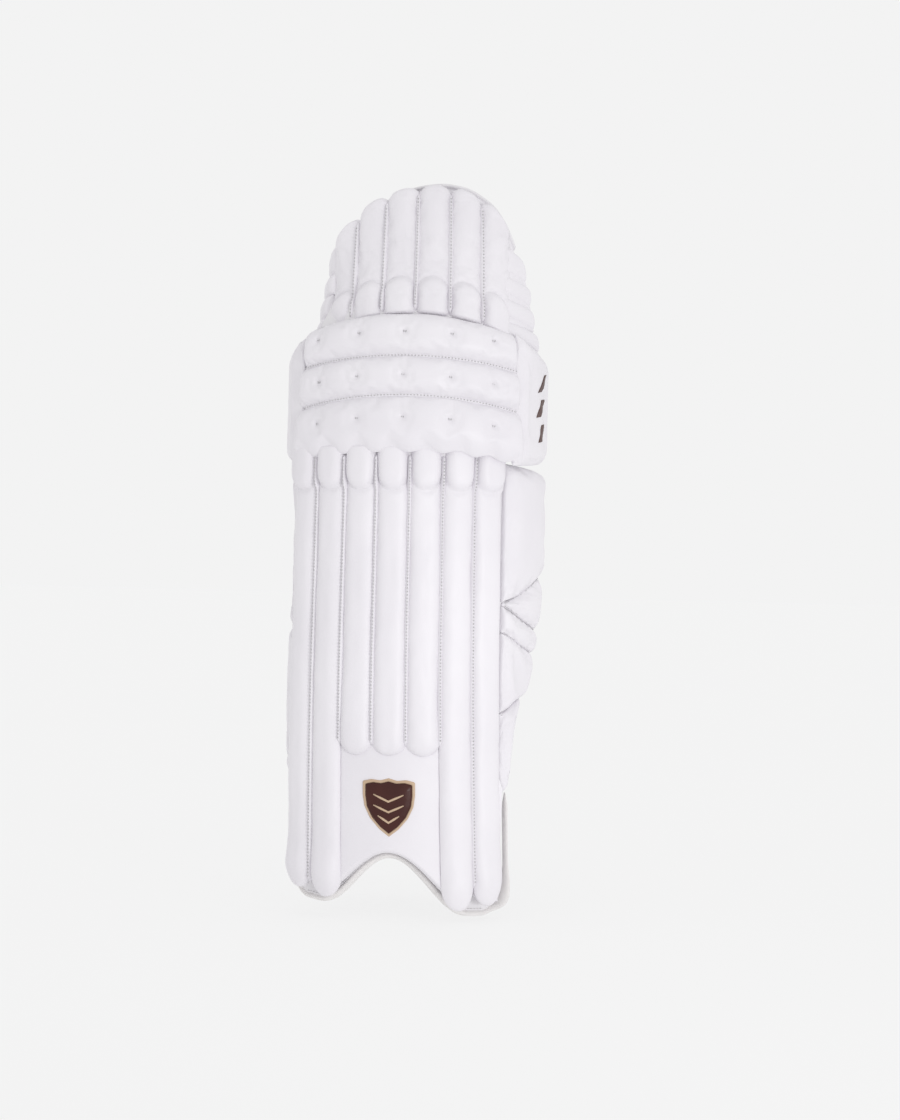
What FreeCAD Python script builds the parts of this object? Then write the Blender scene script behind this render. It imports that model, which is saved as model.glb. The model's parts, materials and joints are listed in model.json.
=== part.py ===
"""Cricket batting leg pad, worn upright on the left leg.

Row frame, millimetres: +Z up, the striking face towards -Y, +X on the side of the large outer wing.
The origin is on the leg's axis at the level of the lowest edge. The pad is a stack of curved layers
(rolls with canes, board, foam lining) with a knee section and a top hat hinged above the shin,
two calf wings, and three hook-and-loop straps that close behind the leg.
"""

import FreeCAD, Part
import math
import os

import Sketcher
from FreeCAD import Placement, Rotation, Vector

# ---------------------------------------------------------------- driving dimensions

SIZES = {
    # plan of the shin: every layer is coaxial about a vertical axis behind the leg
    "shin_axis_y": 94.0,
    "shin_roll_arc": 142.0,
    "shin_pitch_deg": 12.3,
    "shin_span_deg": 94.0,
    "roll_rad": 14.2,
    "bump_rad": 15.0,
    "roll_gap": 0.5,
    "board_thick": 8.0,
    "lining_thick": 12.0,
    "layer_gap": 0.4,
    "cane_rad": 4.0,
    "cane_bore": 4.3,
    "cane_end": 12.0,
    # heights up the shin
    "side_roll_low": 18.0,
    "lobe_roll_low": 12.0,
    "middle_roll_low": 157.0,
    "shin_roll_high": 446.0,
    "bump_low": 408.0,
    "board_low": 3.0,
    "board_high": 440.0,
    "side_high": 430.0,
    "arch_rad": 61.0,
    "arch_drop": 11.0,
    "binding_thick": 3.0,
    "panel_thick": 4.0,
    "panel_span_deg": 38.0,
    "panel_high": 154.0,
    "bolster_rad": 9.0,
    # knee section, on an axis of its own a little further back
    "knee_axis_y": 100.0,
    "knee_roll_arc": 156.0,
    "knee_roll_deep": 17.0,
    "knee_span_deg": 74.0,
    "knee_low": 449.0,
    "knee_seam_low": 498.5,
    "knee_seam_high": 536.0,
    "knee_high": 576.0,
    "knee_side_low": 436.0,
    "knee_board_span_deg": 92.0,
    "cup_rad": 8.0,
    # how far the upper sections sit over towards the outer side of the shin
    "knee_set_over": 9.0,
    "hat_set_over": 18.0,
    # top hat
    "hat_axis_y": 66.0,
    "hat_roll_arc": 117.0,
    "hat_pitch_deg": 15.4,
    "hat_span_deg": 92.0,
    "hat_low": 575.2,
    "hat_bump_high": 610.0,
    "hat_top_middle": 696.0,
    "hat_top_next": 686.0,
    "hat_top_side": 664.0,
    "hat_board_high": 690.0,
    "hat_dome_rad": 112.0,
    "hat_lean_deg": 3.0,
    "hat_hinge_up": 577.0,
    "hat_side_rad": 10.2,
    "hat_side_long": 46.0,
    "hat_side_pitch": 21.0,
    "hat_side_root_x": 88.5,
    "hat_side_root_y": -6.0,
    "hat_outer_flare_deg": 26.0,
    "hat_inner_flare_deg": 14.0,
    "hat_side_first": 572.0,
    # wings
    "outer_root_x": 101.5,
    "inner_root_x": -101.5,
    "wing_root_y": -2.0,
    "wing_thick": 13.0,
    "wing_lining_thick": 4.0,
    "outer_flare_deg": 20.0,
    "inner_flare_deg": 3.0,
    "knee_outer_flare_deg": 13.0,
    "knee_inner_flare_deg": 7.0,
    "knee_outer_root_x": 108.0,
    "knee_inner_root_x": -116.0,
    "knee_root_y": -22.0,
    # straps
    "strap_thick": 2.5,
    "tape_thick": 1.2,
    "calf_strap_rad": 110.0,
    "ankle_strap_rad": 92.0,
    "knee_strap_rad": 112.0,
    "strap_axis_y": 20.0,
    "ankle_axis_y": 15.0,
    "strap_wide": 38.0,
    "knee_strap_wide": 50.0,
    "ankle_strap_low": 58.0,
    "calf_strap_low": 292.0,
    "knee_strap_low": 478.0,
}

doc = FreeCAD.newDocument("leg_pad")
sheet = doc.addObject("Spreadsheet::Sheet", "dims")
for row, (alias, number) in enumerate(SIZES.items(), start=1):
    sheet.set(f"A{row}", alias)
    sheet.set(f"B{row}", str(number))
    sheet.setAlias(f"B{row}", alias)
doc.recompute()

PIECES = []


def size(text):
    """What a formula comes to: cells and numbers joined by + and -, each with an optional *factor."""
    total, sign = 0.0, 1.0
    for word in text.split():
        if word in ("+", "-"):
            sign = 1.0 if word == "+" else -1.0
            continue
        name, _, factor = word.partition("*")
        number = sheet.get(name) if name in SIZES else float(name)
        total += sign * number * float(factor or 1)
    return total


def bound(text):
    """The same formula as an expression on the sheet's cells."""
    words = []
    for word in text.split():
        name, star, factor = word.partition("*")
        words.append(("dims." + name if name in SIZES else name) + star + factor)
    return " ".join(words)


# ---------------------------------------------------------------- ways of making a piece


def new_body(label):
    body = doc.addObject("PartDesign::Body", label)
    body.Label = label
    return body


def outline(body, role, corners):
    """A closed sketch through corners (across, up), fixed to the origin by bound distances.
    A corner with a third item is reached by an arc of that radius, bulging left of travel if positive."""
    sketch = body.newObject("Sketcher::SketchObject", body.Label + "_" + role)
    plane = next(f for f in body.Origin.OriginFeatures if f.Role == role)
    sketch.AttachmentSupport = [(plane, "")]
    sketch.MapMode = "FlatFace"
    points = [Vector(size(c[0]), size(c[1]), 0) for c in corners]
    count = len(points)
    starts, arcs = [], []
    for i in range(count):
        begin, end, target = points[i], points[(i + 1) % count], corners[(i + 1) % count]
        if len(target) == 2:
            sketch.addGeometry(Part.LineSegment(begin, end))
            starts.append(1)
            continue
        radius, left = size(target[2].lstrip("-")), not target[2].startswith("-")
        chord = end - begin
        middle = (begin + end) * 0.5
        sagitta = radius - math.sqrt(max(radius**2 - (chord.Length / 2) ** 2, 0))
        side = Vector(-chord.y, chord.x, 0).normalize() * (sagitta if left else -sagitta)
        sketch.addGeometry(Part.Arc(begin, middle + side, end))
        starts.append(1 if (sketch.getPoint(i, 1) - begin).Length < 1e-4 else 2)
        arcs.append((i, target[2].lstrip("-")))
    for i in range(count):
        ahead = (i + 1) % count
        sketch.addConstraint(Sketcher.Constraint("Coincident", i, 3 - starts[i], ahead, starts[ahead]))
        for kind, text, value in (
            ("DistanceX", corners[i][0], points[i].x),
            ("DistanceY", corners[i][1], points[i].y),
        ):
            at = sketch.addConstraint(Sketcher.Constraint(kind, -1, 1, i, starts[i], value))
            sketch.setExpression(f"Constraints[{at}]", bound(text))
    for i, text in arcs:
        at = sketch.addConstraint(Sketcher.Constraint("Radius", i, size(text)))
        sketch.setExpression(f"Constraints[{at}]", bound(text))
    return sketch


def turned(label, corners, span=None):
    """A body turned about its own Z axis from an outline in XZ: all the way round, or span degrees
    centred on its X axis."""
    body = new_body(label)
    sketch = outline(body, "XZ_Plane", corners)
    feature = body.newObject("PartDesign::Revolution", label + "_turn")
    feature.Profile = sketch
    feature.ReferenceAxis = (sketch, ["V_Axis"])
    feature.Midplane = True
    feature.Angle = 360
    if span:
        feature.setExpression("Angle", bound(span))
    return body


def plate(label, corners, thick, role="YZ_Plane"):
    """A flat pad: an outline in a vertical plane, thickened equally to both sides."""
    body = new_body(label)
    sketch = outline(body, role, corners)
    feature = body.newObject("PartDesign::Pad", label + "_pad")
    feature.Profile = sketch
    feature.Midplane = True
    feature.setExpression("Length", bound(thick))
    return body


def place(piece, x=0.0, y=0.0, up=0.0, turn=0.0, lean=None):
    """Puts a piece at (x, y, up), turned about Z, and leant back about the hat's hinge if lean is set."""
    at = Placement(Vector(x, y, up), Rotation(Vector(0, 0, 1), turn))
    if lean:
        pivot = Vector(0, 0, size("hat_hinge_up"))
        at = Placement(Vector(), Rotation(Vector(1, 0, 0), -size(lean)), pivot).multiply(at)
    piece.Placement = at
    return piece


def keep(piece):
    PIECES.append(piece)
    return piece


def ring(inner, outer, low, high):
    """The outline of a coaxial curved layer."""
    return [(inner, low), (outer, low), (outer, high), (inner, high)]


def rounded(inner, outer, low, high, corner):
    """A layer outline whose outer corners are rounded by corner."""
    return [
        (inner, low),
        (f"{outer} - {corner}", low),
        (outer, f"{low} + {corner}", "-" + corner),
        (outer, f"{high} - {corner}"),
        (f"{outer} - {corner}", high, "-" + corner),
        (inner, high),
    ]


FACE_FRONT = -90.0


# ---------------------------------------------------------------- rolls and canes


def roll(label, low, high, shaft, bulge, bumps):
    """A stuffed roll with a bore for its cane, open at the hidden upper end. bumps is a list of
    (from, to) stretches that swell to the bulge radius."""
    corners = [("0", low), (shaft, f"{low} + {shaft}", "-" + shaft)]
    top_rad = shaft
    for start, stop in bumps:
        corners += [(shaft, start), (bulge, f"{start} + 8")]
        top_rad = bulge
        if stop:
            corners += [(bulge, f"{stop} - 8"), (shaft, stop)]
            top_rad = shaft
    corners += [
        (top_rad, f"{high} - 5"),
        (f"{top_rad} - 5", high, "-5"),
        ("cane_bore", high),
        ("cane_bore", f"{low} + cane_end"),
        ("0", f"{low} + cane_end"),
    ]
    return turned(label, corners)


def cane_group(label, spots):
    """Loose cane rods as one node of separate solids. spots is a list of (x, y, low, high)."""
    rods = []
    for number, (x, y, low, high) in enumerate(spots, start=1):
        rod = doc.addObject("Part::Cylinder", f"{label}_{number}")
        rod.setExpression("Radius", bound("cane_rad"))
        rod.setExpression("Height", bound(f"{high} - {low} - cane_end - 2"))
        rod.Placement = Placement(Vector(x, y, size(f"{low} + cane_end + 1")), Rotation())
        rods.append(rod)
    group = doc.addObject("Part::Compound", label)
    group.Label = label
    group.Links = rods
    return group


def arc_spot(index, count, arc, pitch, axis_y):
    """Where roll number index of count stands on its arc, counted from the -X side."""
    angle = math.radians((index - (count - 1) / 2) * size(pitch))
    return size(arc) * math.sin(angle), size(axis_y) - size(arc) * math.cos(angle)


def shin_rolls():
    lows = ["side_roll_low", "lobe_roll_low"] + ["middle_roll_low"] * 3
    lows += ["lobe_roll_low", "side_roll_low"]
    spots = []
    for index, low in enumerate(lows):
        x, y = arc_spot(index, len(lows), "shin_roll_arc", "shin_pitch_deg", "shin_axis_y")
        bumps = [("bump_low", None)]
        piece = roll(f"shin_roll_{index + 1}", low, "shin_roll_high", "roll_rad", "bump_rad", bumps)
        keep(place(piece, x, y))
        spots.append((x, y, low, "shin_roll_high"))
    keep(cane_group("shin_canes", spots))


def hat_rolls():
    tops = ["hat_top_side", "hat_top_next", "hat_top_middle"]
    spots = []
    for index, top in enumerate(tops + tops[::-1]):
        x, y = arc_spot(index, 6, "hat_roll_arc", "hat_pitch_deg", "hat_axis_y")
        corners = [
            ("cane_bore", "hat_low"),
            ("bump_rad - 5", "hat_low"),
            ("bump_rad", "hat_low + 5", "-5"),
            ("bump_rad", "hat_bump_high - 8"),
            ("roll_rad", "hat_bump_high"),
            ("roll_rad", f"{top} - roll_rad"),
            ("0", top, "-roll_rad"),
            ("0", f"{top} - cane_end"),
            ("cane_bore", f"{top} - cane_end"),
        ]
        piece = turned(f"hat_roll_{index + 1}", corners)
        keep(place(piece, x, y, lean="hat_lean_deg"))
        spots.append((x, y, "hat_low - cane_end", f"{top} - cane_end"))
    canes = keep(cane_group("hat_canes", spots))
    place(canes, lean="hat_lean_deg")


# ---------------------------------------------------------------- shin layers

BOARD_OUT = "shin_roll_arc - bump_rad - roll_gap"
BOARD_IN = BOARD_OUT + " - board_thick"
LINING_OUT = BOARD_IN + " - layer_gap"
LINING_IN = LINING_OUT + " - lining_thick"
PANEL_OUT = BOARD_OUT + " + layer_gap + panel_thick"


def arch_tool(label, radius):
    """A round bar along Y whose top is the instep arch."""
    bar = doc.addObject("Part::Cylinder", label)
    bar.setExpression("Radius", bound(radius))
    bar.Height = 400
    bar.Placement = Placement(
        Vector(0, 200, -size("arch_drop")), Rotation(Vector(1, 0, 0), 90)
    )
    return bar


def cut(label, base, tool):
    piece = doc.addObject("Part::Cut", label)
    piece.Label = label
    piece.Base = base
    piece.Tool = tool
    return piece


def shin_layer(label, inner, outer, low, high, span, arch):
    """A curved shin layer with the instep arch cut out of its lower edge."""
    whole = turned(label + "_whole", ring(inner, outer, low, high), span)
    place(whole, y=size("shin_axis_y"), turn=FACE_FRONT)
    return keep(cut(label, whole, arch_tool(label + "_arch", arch)))


def shin_layers():
    shin_layer(
        "shin_board", BOARD_IN, BOARD_OUT, "board_low", "board_high", "shin_span_deg", "arch_rad + layer_gap"
    )
    shin_layer(
        "shin_lining", LINING_IN, LINING_OUT,
        "board_low + 5", "side_high", "shin_span_deg - 4", "arch_rad + layer_gap",
    )
    shin_layer(
        "instep_panel", BOARD_OUT + " + layer_gap", PANEL_OUT,
        "board_low + 30", "panel_high", "panel_span_deg", "arch_rad + layer_gap",
    )


def instep_binding():
    """The tape folded over the layers' lower edge round the instep arch: a thick curved shell, kept
    only in a narrow band above the arch."""
    shell = turned(
        "binding_shell",
        ring(LINING_IN, BOARD_OUT, "board_low", "board_low + 60"),
        "shin_span_deg - 20",
    )
    place(shell, y=size("shin_axis_y"), turn=FACE_FRONT)
    band = cut(
        "binding_band",
        arch_tool("binding_outer", "arch_rad"),
        arch_tool("binding_inner", "arch_rad - binding_thick"),
    )
    piece = doc.addObject("Part::Common", "instep_binding")
    piece.Label = "instep_binding"
    piece.Base = shell
    piece.Tool = band
    return keep(piece)


def inner_bolsters():
    """Two padded columns inside the lining that seat the shin."""
    for label, side in (("inner_bolster_left", -1), ("inner_bolster_right", 1)):
        corners = [
            ("0", "board_low + 105"),
            ("bolster_rad", "board_low + 105 + bolster_rad", "-bolster_rad"),
            ("bolster_rad", "side_high - 20 - bolster_rad"),
            ("0", "side_high - 20", "-bolster_rad"),
        ]
        piece = turned(label, corners)
        reach = size(LINING_IN + " - bolster_rad - layer_gap")
        angle = math.radians(side * 31)
        keep(
            place(piece, reach * math.sin(angle), size("shin_axis_y") - reach * math.cos(angle))
        )


# ---------------------------------------------------------------- knee section

KNEE_BOARD_OUT = "knee_roll_arc - knee_roll_deep - layer_gap"
KNEE_BOARD_IN = KNEE_BOARD_OUT + " - board_thick"
KNEE_LINING_OUT = KNEE_BOARD_IN + " - layer_gap"
KNEE_LINING_IN = KNEE_LINING_OUT + " - lining_thick"


def knee_rolls():
    """Three horizontal bolsters across the knee."""
    seams = ["knee_low", "knee_seam_low", "knee_seam_high", "knee_high"]
    for number, name in enumerate(("knee_roll_bottom", "knee_roll_middle", "knee_roll_top")):
        corners = rounded(
            "knee_roll_arc - knee_roll_deep", "knee_roll_arc + knee_roll_deep",
            seams[number] + " + 0.3", seams[number + 1] + " - 0.3", "14",
        )
        piece = turned(name, corners, "knee_span_deg")
        keep(place(piece, y=size("knee_axis_y"), turn=FACE_FRONT))


def knee_layers():
    board = turned(
        "knee_board",
        ring(KNEE_BOARD_IN, KNEE_BOARD_OUT, "knee_low - 1", "knee_high - 18"),
        "knee_board_span_deg",
    )
    keep(place(board, y=size("knee_axis_y"), turn=FACE_FRONT))
    lining = turned(
        "knee_lining",
        ring(KNEE_LINING_IN, KNEE_LINING_OUT, "knee_side_low + 11", "knee_high - 18"),
        "knee_board_span_deg - 6",
    )
    keep(place(lining, y=size("knee_axis_y"), turn=FACE_FRONT))


def knee_cup():
    """Two short bolsters, below and above, that locate the kneecap inside the knee section."""
    reach = KNEE_LINING_IN + " - layer_gap"
    for label, low in (("knee_cup_lower", "knee_low + 6"), ("knee_cup_upper", "knee_high - 44")):
        corners = [
            (f"{reach} - cup_rad", low),
            (reach, low),
            (reach, f"{low} + 18"),
            (f"{reach} - cup_rad", f"{low} + 18"),
            (f"{reach} - cup_rad - 3", f"{low} + 9"),
        ]
        piece = turned(label, corners, "knee_span_deg - 32")
        keep(place(piece, y=size("knee_axis_y"), turn=FACE_FRONT))


# ---------------------------------------------------------------- top hat

HAT_BOARD_OUT = "hat_roll_arc - bump_rad - roll_gap"
HAT_BOARD_IN = HAT_BOARD_OUT + " - board_thick"
HAT_LINING_OUT = HAT_BOARD_IN + " - layer_gap"
HAT_LINING_IN = HAT_LINING_OUT + " - lining_thick*0.8"


def domed(label, inner, outer, low, high, span):
    """A curved hat layer whose top is trimmed to a dome by a round bar along Y."""
    whole = turned(label + "_whole", ring(inner, outer, low, high), span)
    place(whole, y=size("hat_axis_y"), turn=FACE_FRONT)
    dome = doc.addObject("Part::Cylinder", label + "_dome")
    dome.setExpression("Radius", bound("hat_dome_rad"))
    dome.Height = 400
    dome.Placement = Placement(
        Vector(0, 200, size(high + " - hat_dome_rad")), Rotation(Vector(1, 0, 0), 90)
    )
    piece = doc.addObject("Part::Common", label)
    piece.Label = label
    piece.Base = whole
    piece.Tool = dome
    return keep(place(piece, lean="hat_lean_deg"))


def hat_layers():
    domed("hat_board", HAT_BOARD_IN, HAT_BOARD_OUT, "hat_low + 1", "hat_board_high", "hat_span_deg")
    domed(
        "hat_lining", HAT_LINING_IN, HAT_LINING_OUT, "hat_low + 3", "hat_board_high - 4",
        "hat_span_deg - 6",
    )


def hat_sides():
    """On each side of the hat, four short bolsters that run back from the last roll, and the lining
    that they are stitched to."""
    pivot = Vector(0, 0, size("hat_hinge_up"))
    lean = Placement(Vector(), Rotation(Vector(1, 0, 0), -size("hat_lean_deg")), pivot)
    for side, name in ((1, "outer"), (-1, "inner")):
        turn = -side * size(f"hat_{name}_flare_deg")
        root = Placement(
            Vector(side * size("hat_side_root_x"), size("hat_side_root_y"), 0),
            Rotation(Vector(0, 0, 1), turn),
        )
        bolsters = []
        for step in range(4):
            long = f"hat_side_long - {5 * step}"
            corners = [
                ("0", "0"),
                ("hat_side_rad", "hat_side_rad", "-hat_side_rad"),
                ("hat_side_rad", f"{long} - hat_side_rad"),
                ("0", long, "-hat_side_rad"),
            ]
            piece = turned(f"hat_bolster_{name}_{step + 1}", corners)
            up = size(f"hat_side_first + hat_side_pitch*{step}")
            lying = Placement(Vector(-side * 1.5 * step, 0, up), Rotation(Vector(1, 0, 0), -90))
            piece.Placement = lean.multiply(root).multiply(lying)
            bolsters.append(piece)
        group = doc.addObject("Part::Compound", f"hat_side_rolls_{name}")
        group.Label = f"hat_side_rolls_{name}"
        group.Links = bolsters
        keep(group)
        low, high = "hat_side_first - 8", "hat_side_first + hat_side_pitch*3 + 8"
        corners = [("16", low), ("hat_side_long - 4", low), ("hat_side_long - 19", high), ("16", high)]
        lining = plate(f"hat_side_lining_{name}", corners, "wing_lining_thick")
        inset = size("hat_side_rad + wing_lining_thick*0.5 + 5")
        inward = Placement(Vector(-side * inset, 0, 0), Rotation())
        lining.Placement = lean.multiply(root).multiply(inward)
        keep(lining)


# ---------------------------------------------------------------- wings


def wing(label, corners, thick, root_x, flare, inset=0.0, root_y="wing_root_y"):
    """A flat wing pad. corners are (back from the root, up); inset moves it towards the leg."""
    side = 1 if size(root_x) > 0 else -1
    turn = -side * size(flare)
    piece = plate(label, corners, thick)
    away = Rotation(Vector(0, 0, 1), turn).multVec(Vector(-side * inset, 0, 0))
    return keep(
        place(piece, size(root_x) + away.x, size(root_y) + away.y, turn=turn)
    )


def outer_wing():
    """The large outer calf wing: five stitched panels over one lining."""
    panels = {
        "outer_wing_upper": [
            ("0", "304.5"), ("100", "329"), ("108", "338", "12"), ("108", "385"),
            ("99", "side_high - 4", "90"), ("0", "side_high"),
        ],
        "outer_wing_wedge": [("4", "302"), ("84", "275"), ("98", "327.5", "-90")],
        "outer_wing_band": [("0", "275"), ("73", "253"), ("82", "274", "13"), ("0", "300.5")],
        "outer_wing_lower": [
            ("0", "197"), ("46", "214"), ("72", "240", "80"), ("72", "252", "9"), ("0", "273.5"),
        ],
        "outer_wing_tail": [("0", "112"), ("20", "124", "24"), ("45", "212.5"), ("0", "195.5")],
    }
    for label, corners in panels.items():
        wing(label, corners, "wing_thick", "outer_root_x", "outer_flare_deg")
    lining = [
        ("16", "134"), ("20", "136"), ("68", "244"), ("80", "277"), ("102", "342"),
        ("102", "386"), ("93", "side_high - 8"), ("16", "side_high - 3"),
    ]
    wing(
        "outer_wing_lining", lining, "wing_lining_thick", "outer_root_x", "outer_flare_deg",
        inset=size("wing_thick*0.5 + wing_lining_thick*0.5 + layer_gap"),
    )


def inner_wing():
    """The smaller inner calf wing: two stitched panels over one lining."""
    wing(
        "inner_wing_upper",
        [("0", "276"), ("71", "276"), ("71", "400"), ("50", "side_high", "40"), ("0", "side_high")],
        "wing_thick", "inner_root_x", "inner_flare_deg",
    )
    wing(
        "inner_wing_lower",
        [("0", "130"), ("18", "135", "20"), ("71", "250"), ("71", "275"), ("0", "275")],
        "wing_thick", "inner_root_x", "inner_flare_deg",
    )
    wing(
        "inner_wing_lining",
        [
            ("16", "145"), ("19", "146"), ("66", "254"), ("66", "398"),
            ("48", "side_high - 4"), ("16", "side_high - 4"),
        ],
        "wing_lining_thick", "inner_root_x", "inner_flare_deg",
        inset=size("wing_thick*0.5 + wing_lining_thick*0.5 + layer_gap"),
    )


def knee_wings():
    """The two side pads of the knee section, each with a lining."""
    for label, root, flare, long in (
        ("knee_side_outer", "knee_outer_root_x", "knee_outer_flare_deg", 106),
        ("knee_side_inner", "knee_inner_root_x", "knee_inner_flare_deg", 88),
    ):
        corners = [
            ("0", "knee_side_low"), ("20", "knee_side_low"), (f"{long - 6}", "knee_side_low + 14"),
            (f"{long}", "knee_side_low + 22", "9"), (f"{long}", "knee_high - 42"),
            (f"{long - 14}", "knee_high - 30", "16"), ("0", "knee_high - 20"),
        ]
        wing(label, corners, "wing_thick", root, flare, root_y="knee_root_y")
        inner = [
            ("36", "knee_side_low + 9"), (f"{long - 8}", "knee_side_low + 18"),
            (f"{long - 4}", "knee_high - 44"), (f"{long - 16}", "knee_high - 34"),
            ("36", "knee_high - 27"),
        ]
        wing(
            label + "_lining", inner, "wing_lining_thick", root, flare,
            inset=size("wing_thick*0.5 + wing_lining_thick*0.5 + layer_gap"),
            root_y="knee_root_y",
        )


# ---------------------------------------------------------------- straps


def band(label, radius, thick, low, wide, axis_y, start, stop):
    """A strap or tape as an arc about a vertical axis, between two bearings in degrees from +X."""
    corners = ring(f"{radius} - {thick}*0.5", f"{radius} + {thick}*0.5", low, f"{low} + {wide}")
    body = new_body(label)
    sketch = outline(body, "XZ_Plane", corners)
    feature = body.newObject("PartDesign::Revolution", label + "_turn")
    feature.Profile = sketch
    feature.ReferenceAxis = (sketch, ["V_Axis"])
    feature.Midplane = True
    feature.Angle = abs(stop - start)
    return keep(place(body, y=size(axis_y), turn=(start + stop) / 2))


def strap_set(name, radius, low, wide, axis_y, root_deg, tab_deg):
    """A long hook strap from the inner side and a short loop tab from the outer side, overlapping
    behind the leg. Each carries its tape on the face where they meet."""
    band(f"{name}_strap", radius, "strap_thick", low, wide, axis_y, 47, root_deg)
    hook = f"{radius} - strap_thick*0.5 - tape_thick*0.5 - 0.1"
    band(f"{name}_hook_tape", hook, "tape_thick", f"{low} + 4", f"{wide} - 8", axis_y, 49, 72)
    tab = f"{radius} - strap_thick*1.5 - tape_thick*2 - 1.1"
    band(f"{name}_tab", tab, "strap_thick", low, wide, axis_y, tab_deg, 78)
    loop = f"{radius} - strap_thick - tape_thick*1.5 - 1.0"
    band(f"{name}_loop_tape", loop, "tape_thick", f"{low} + 4", f"{wide} - 8", axis_y, 44, 76)


def straps():
    strap_set("ankle", "ankle_strap_rad", "ankle_strap_low", "strap_wide", "ankle_axis_y", 180, 0)
    strap_set("calf", "calf_strap_rad", "calf_strap_low", "strap_wide", "strap_axis_y", 150.5, 10)
    strap_set("knee", "knee_strap_rad", "knee_strap_low", "knee_strap_wide", "strap_axis_y", 156, 10)


# ---------------------------------------------------------------- trim


def emblem():
    """A raised shield badge on the instep panel: generic, five-sided."""
    corners = [("0", "78"), ("25", "98"), ("25", "130"), ("-25", "130"), ("-25", "98")]
    body = plate("emblem_badge", corners, "2", role="XZ_Plane")
    keep(place(body, y=size("shin_axis_y") - size(PANEL_OUT) - 1.2))


def set_over():
    """Moves the knee section and the top hat, with all that they carry, towards the outer side."""
    for piece in PIECES:
        for prefix, cell in (("knee_", "knee_set_over"), ("hat_", "hat_set_over")):
            if piece.Label.startswith(prefix):
                over = Placement(Vector(size(cell), 0, 0), Rotation())
                piece.Placement = over.multiply(piece.Placement)


def main():
    shin_rolls()
    shin_layers()
    instep_binding()
    emblem()
    inner_bolsters()
    outer_wing()
    inner_wing()
    knee_rolls()
    knee_layers()
    knee_cup()
    knee_wings()
    hat_rolls()
    hat_layers()
    hat_sides()
    straps()
    set_over()
    doc.recompute()
    broken = [o.Name for o in doc.Objects if {"Invalid", "Error"} & set(o.State)]
    if broken:
        raise RuntimeError(f"these objects did not compute: {broken}")
    for piece in PIECES:
        if piece.Shape.isNull() or not piece.Shape.isValid() or not piece.Shape.Solids:
            raise RuntimeError(f"{piece.Label} has no valid solid")
    os.makedirs("parts", exist_ok=True)
    for piece in PIECES:
        piece.Shape.exportStep(f"parts/{piece.Label}.step")
    print(len(PIECES), "pieces")


main()
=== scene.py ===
"""Cricket batting leg pad: the visible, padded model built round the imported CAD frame.

The rolls, backings and linings are placed by bearing, radius and height about the axis of their
section: the shin, the knee section and the top hat each have one. Bearings are degrees from the
striking face, positive towards the outer side. The wings and side pads are placed by how far back
along the pad, how far out of it and how high they are, and the straps round axes of their own.
Sizes are metres.
"""

import json
import math

import bmesh
import bpy
import numpy as np
from mathutils import Matrix, Vector, noise
from mathutils.bvhtree import BVHTree


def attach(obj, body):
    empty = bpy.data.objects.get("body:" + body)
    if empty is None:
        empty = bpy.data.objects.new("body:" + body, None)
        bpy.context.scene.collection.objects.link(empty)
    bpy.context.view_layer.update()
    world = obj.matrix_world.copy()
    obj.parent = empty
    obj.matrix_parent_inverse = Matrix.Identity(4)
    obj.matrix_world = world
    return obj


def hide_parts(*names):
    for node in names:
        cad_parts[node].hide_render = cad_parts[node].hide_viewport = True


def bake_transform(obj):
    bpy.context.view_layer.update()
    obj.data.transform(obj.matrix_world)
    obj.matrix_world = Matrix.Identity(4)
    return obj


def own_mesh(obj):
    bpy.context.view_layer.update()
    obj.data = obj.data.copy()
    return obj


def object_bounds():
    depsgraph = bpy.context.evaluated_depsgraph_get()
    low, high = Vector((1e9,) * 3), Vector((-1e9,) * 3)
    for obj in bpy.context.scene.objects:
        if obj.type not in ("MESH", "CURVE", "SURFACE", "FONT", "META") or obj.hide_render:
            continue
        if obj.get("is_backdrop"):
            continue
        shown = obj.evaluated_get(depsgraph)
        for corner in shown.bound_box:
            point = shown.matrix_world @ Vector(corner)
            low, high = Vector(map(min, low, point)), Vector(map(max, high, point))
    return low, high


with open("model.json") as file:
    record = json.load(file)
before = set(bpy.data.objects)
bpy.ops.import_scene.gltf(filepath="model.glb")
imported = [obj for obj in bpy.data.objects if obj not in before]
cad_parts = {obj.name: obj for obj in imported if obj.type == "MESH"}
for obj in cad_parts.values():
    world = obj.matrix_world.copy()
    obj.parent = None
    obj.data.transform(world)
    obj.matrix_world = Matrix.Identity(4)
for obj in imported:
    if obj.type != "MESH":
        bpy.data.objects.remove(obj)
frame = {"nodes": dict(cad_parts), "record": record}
cad_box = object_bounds()

# ---------------------------------------------------------------- the sections' own coordinates

SHIN_Y, KNEE_Y, HAT_Y = 0.094, 0.100, 0.066
KNEE_X, HAT_X = 0.009, 0.018
SHIN_PITCH, HAT_PITCH = 12.3, 15.4
SHIN_SEAM, KNEE_SEAM, HAT_SEAM = 0.146, 0.1625, 0.119
SHIN_BOARD, KNEE_BOARD, HAT_BOARD = 0.1235, 0.1345, 0.0985
SHIN_INSIDE, KNEE_INSIDE, HAT_INSIDE = 0.1155, 0.1265, 0.0915
HAT_PIVOT, HAT_LEAN = 0.577, math.radians(3)
KNEE_SEAMS = (0.4495, 0.4985, 0.536, 0.5755)


def alike(*values):
    """The values as arrays of numbers that all have the same shape."""
    return np.broadcast_arrays(*(np.asarray(value, float) for value in values))


def on_shin(phi, r, z):
    """Points of the shin section: its rolls splay a little and turn outwards towards the foot."""
    phi, r, z = alike(phi, r, z)
    low = np.clip(1 - z / 0.40, 0, 1.02)
    angle = np.radians(phi * (1 + 0.06 * low) + 2.4 * np.clip(1 - z / 0.25, 0, 1.02) ** 1.5)
    return np.stack([r * np.sin(angle), SHIN_Y - r * np.cos(angle), z], -1)


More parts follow.
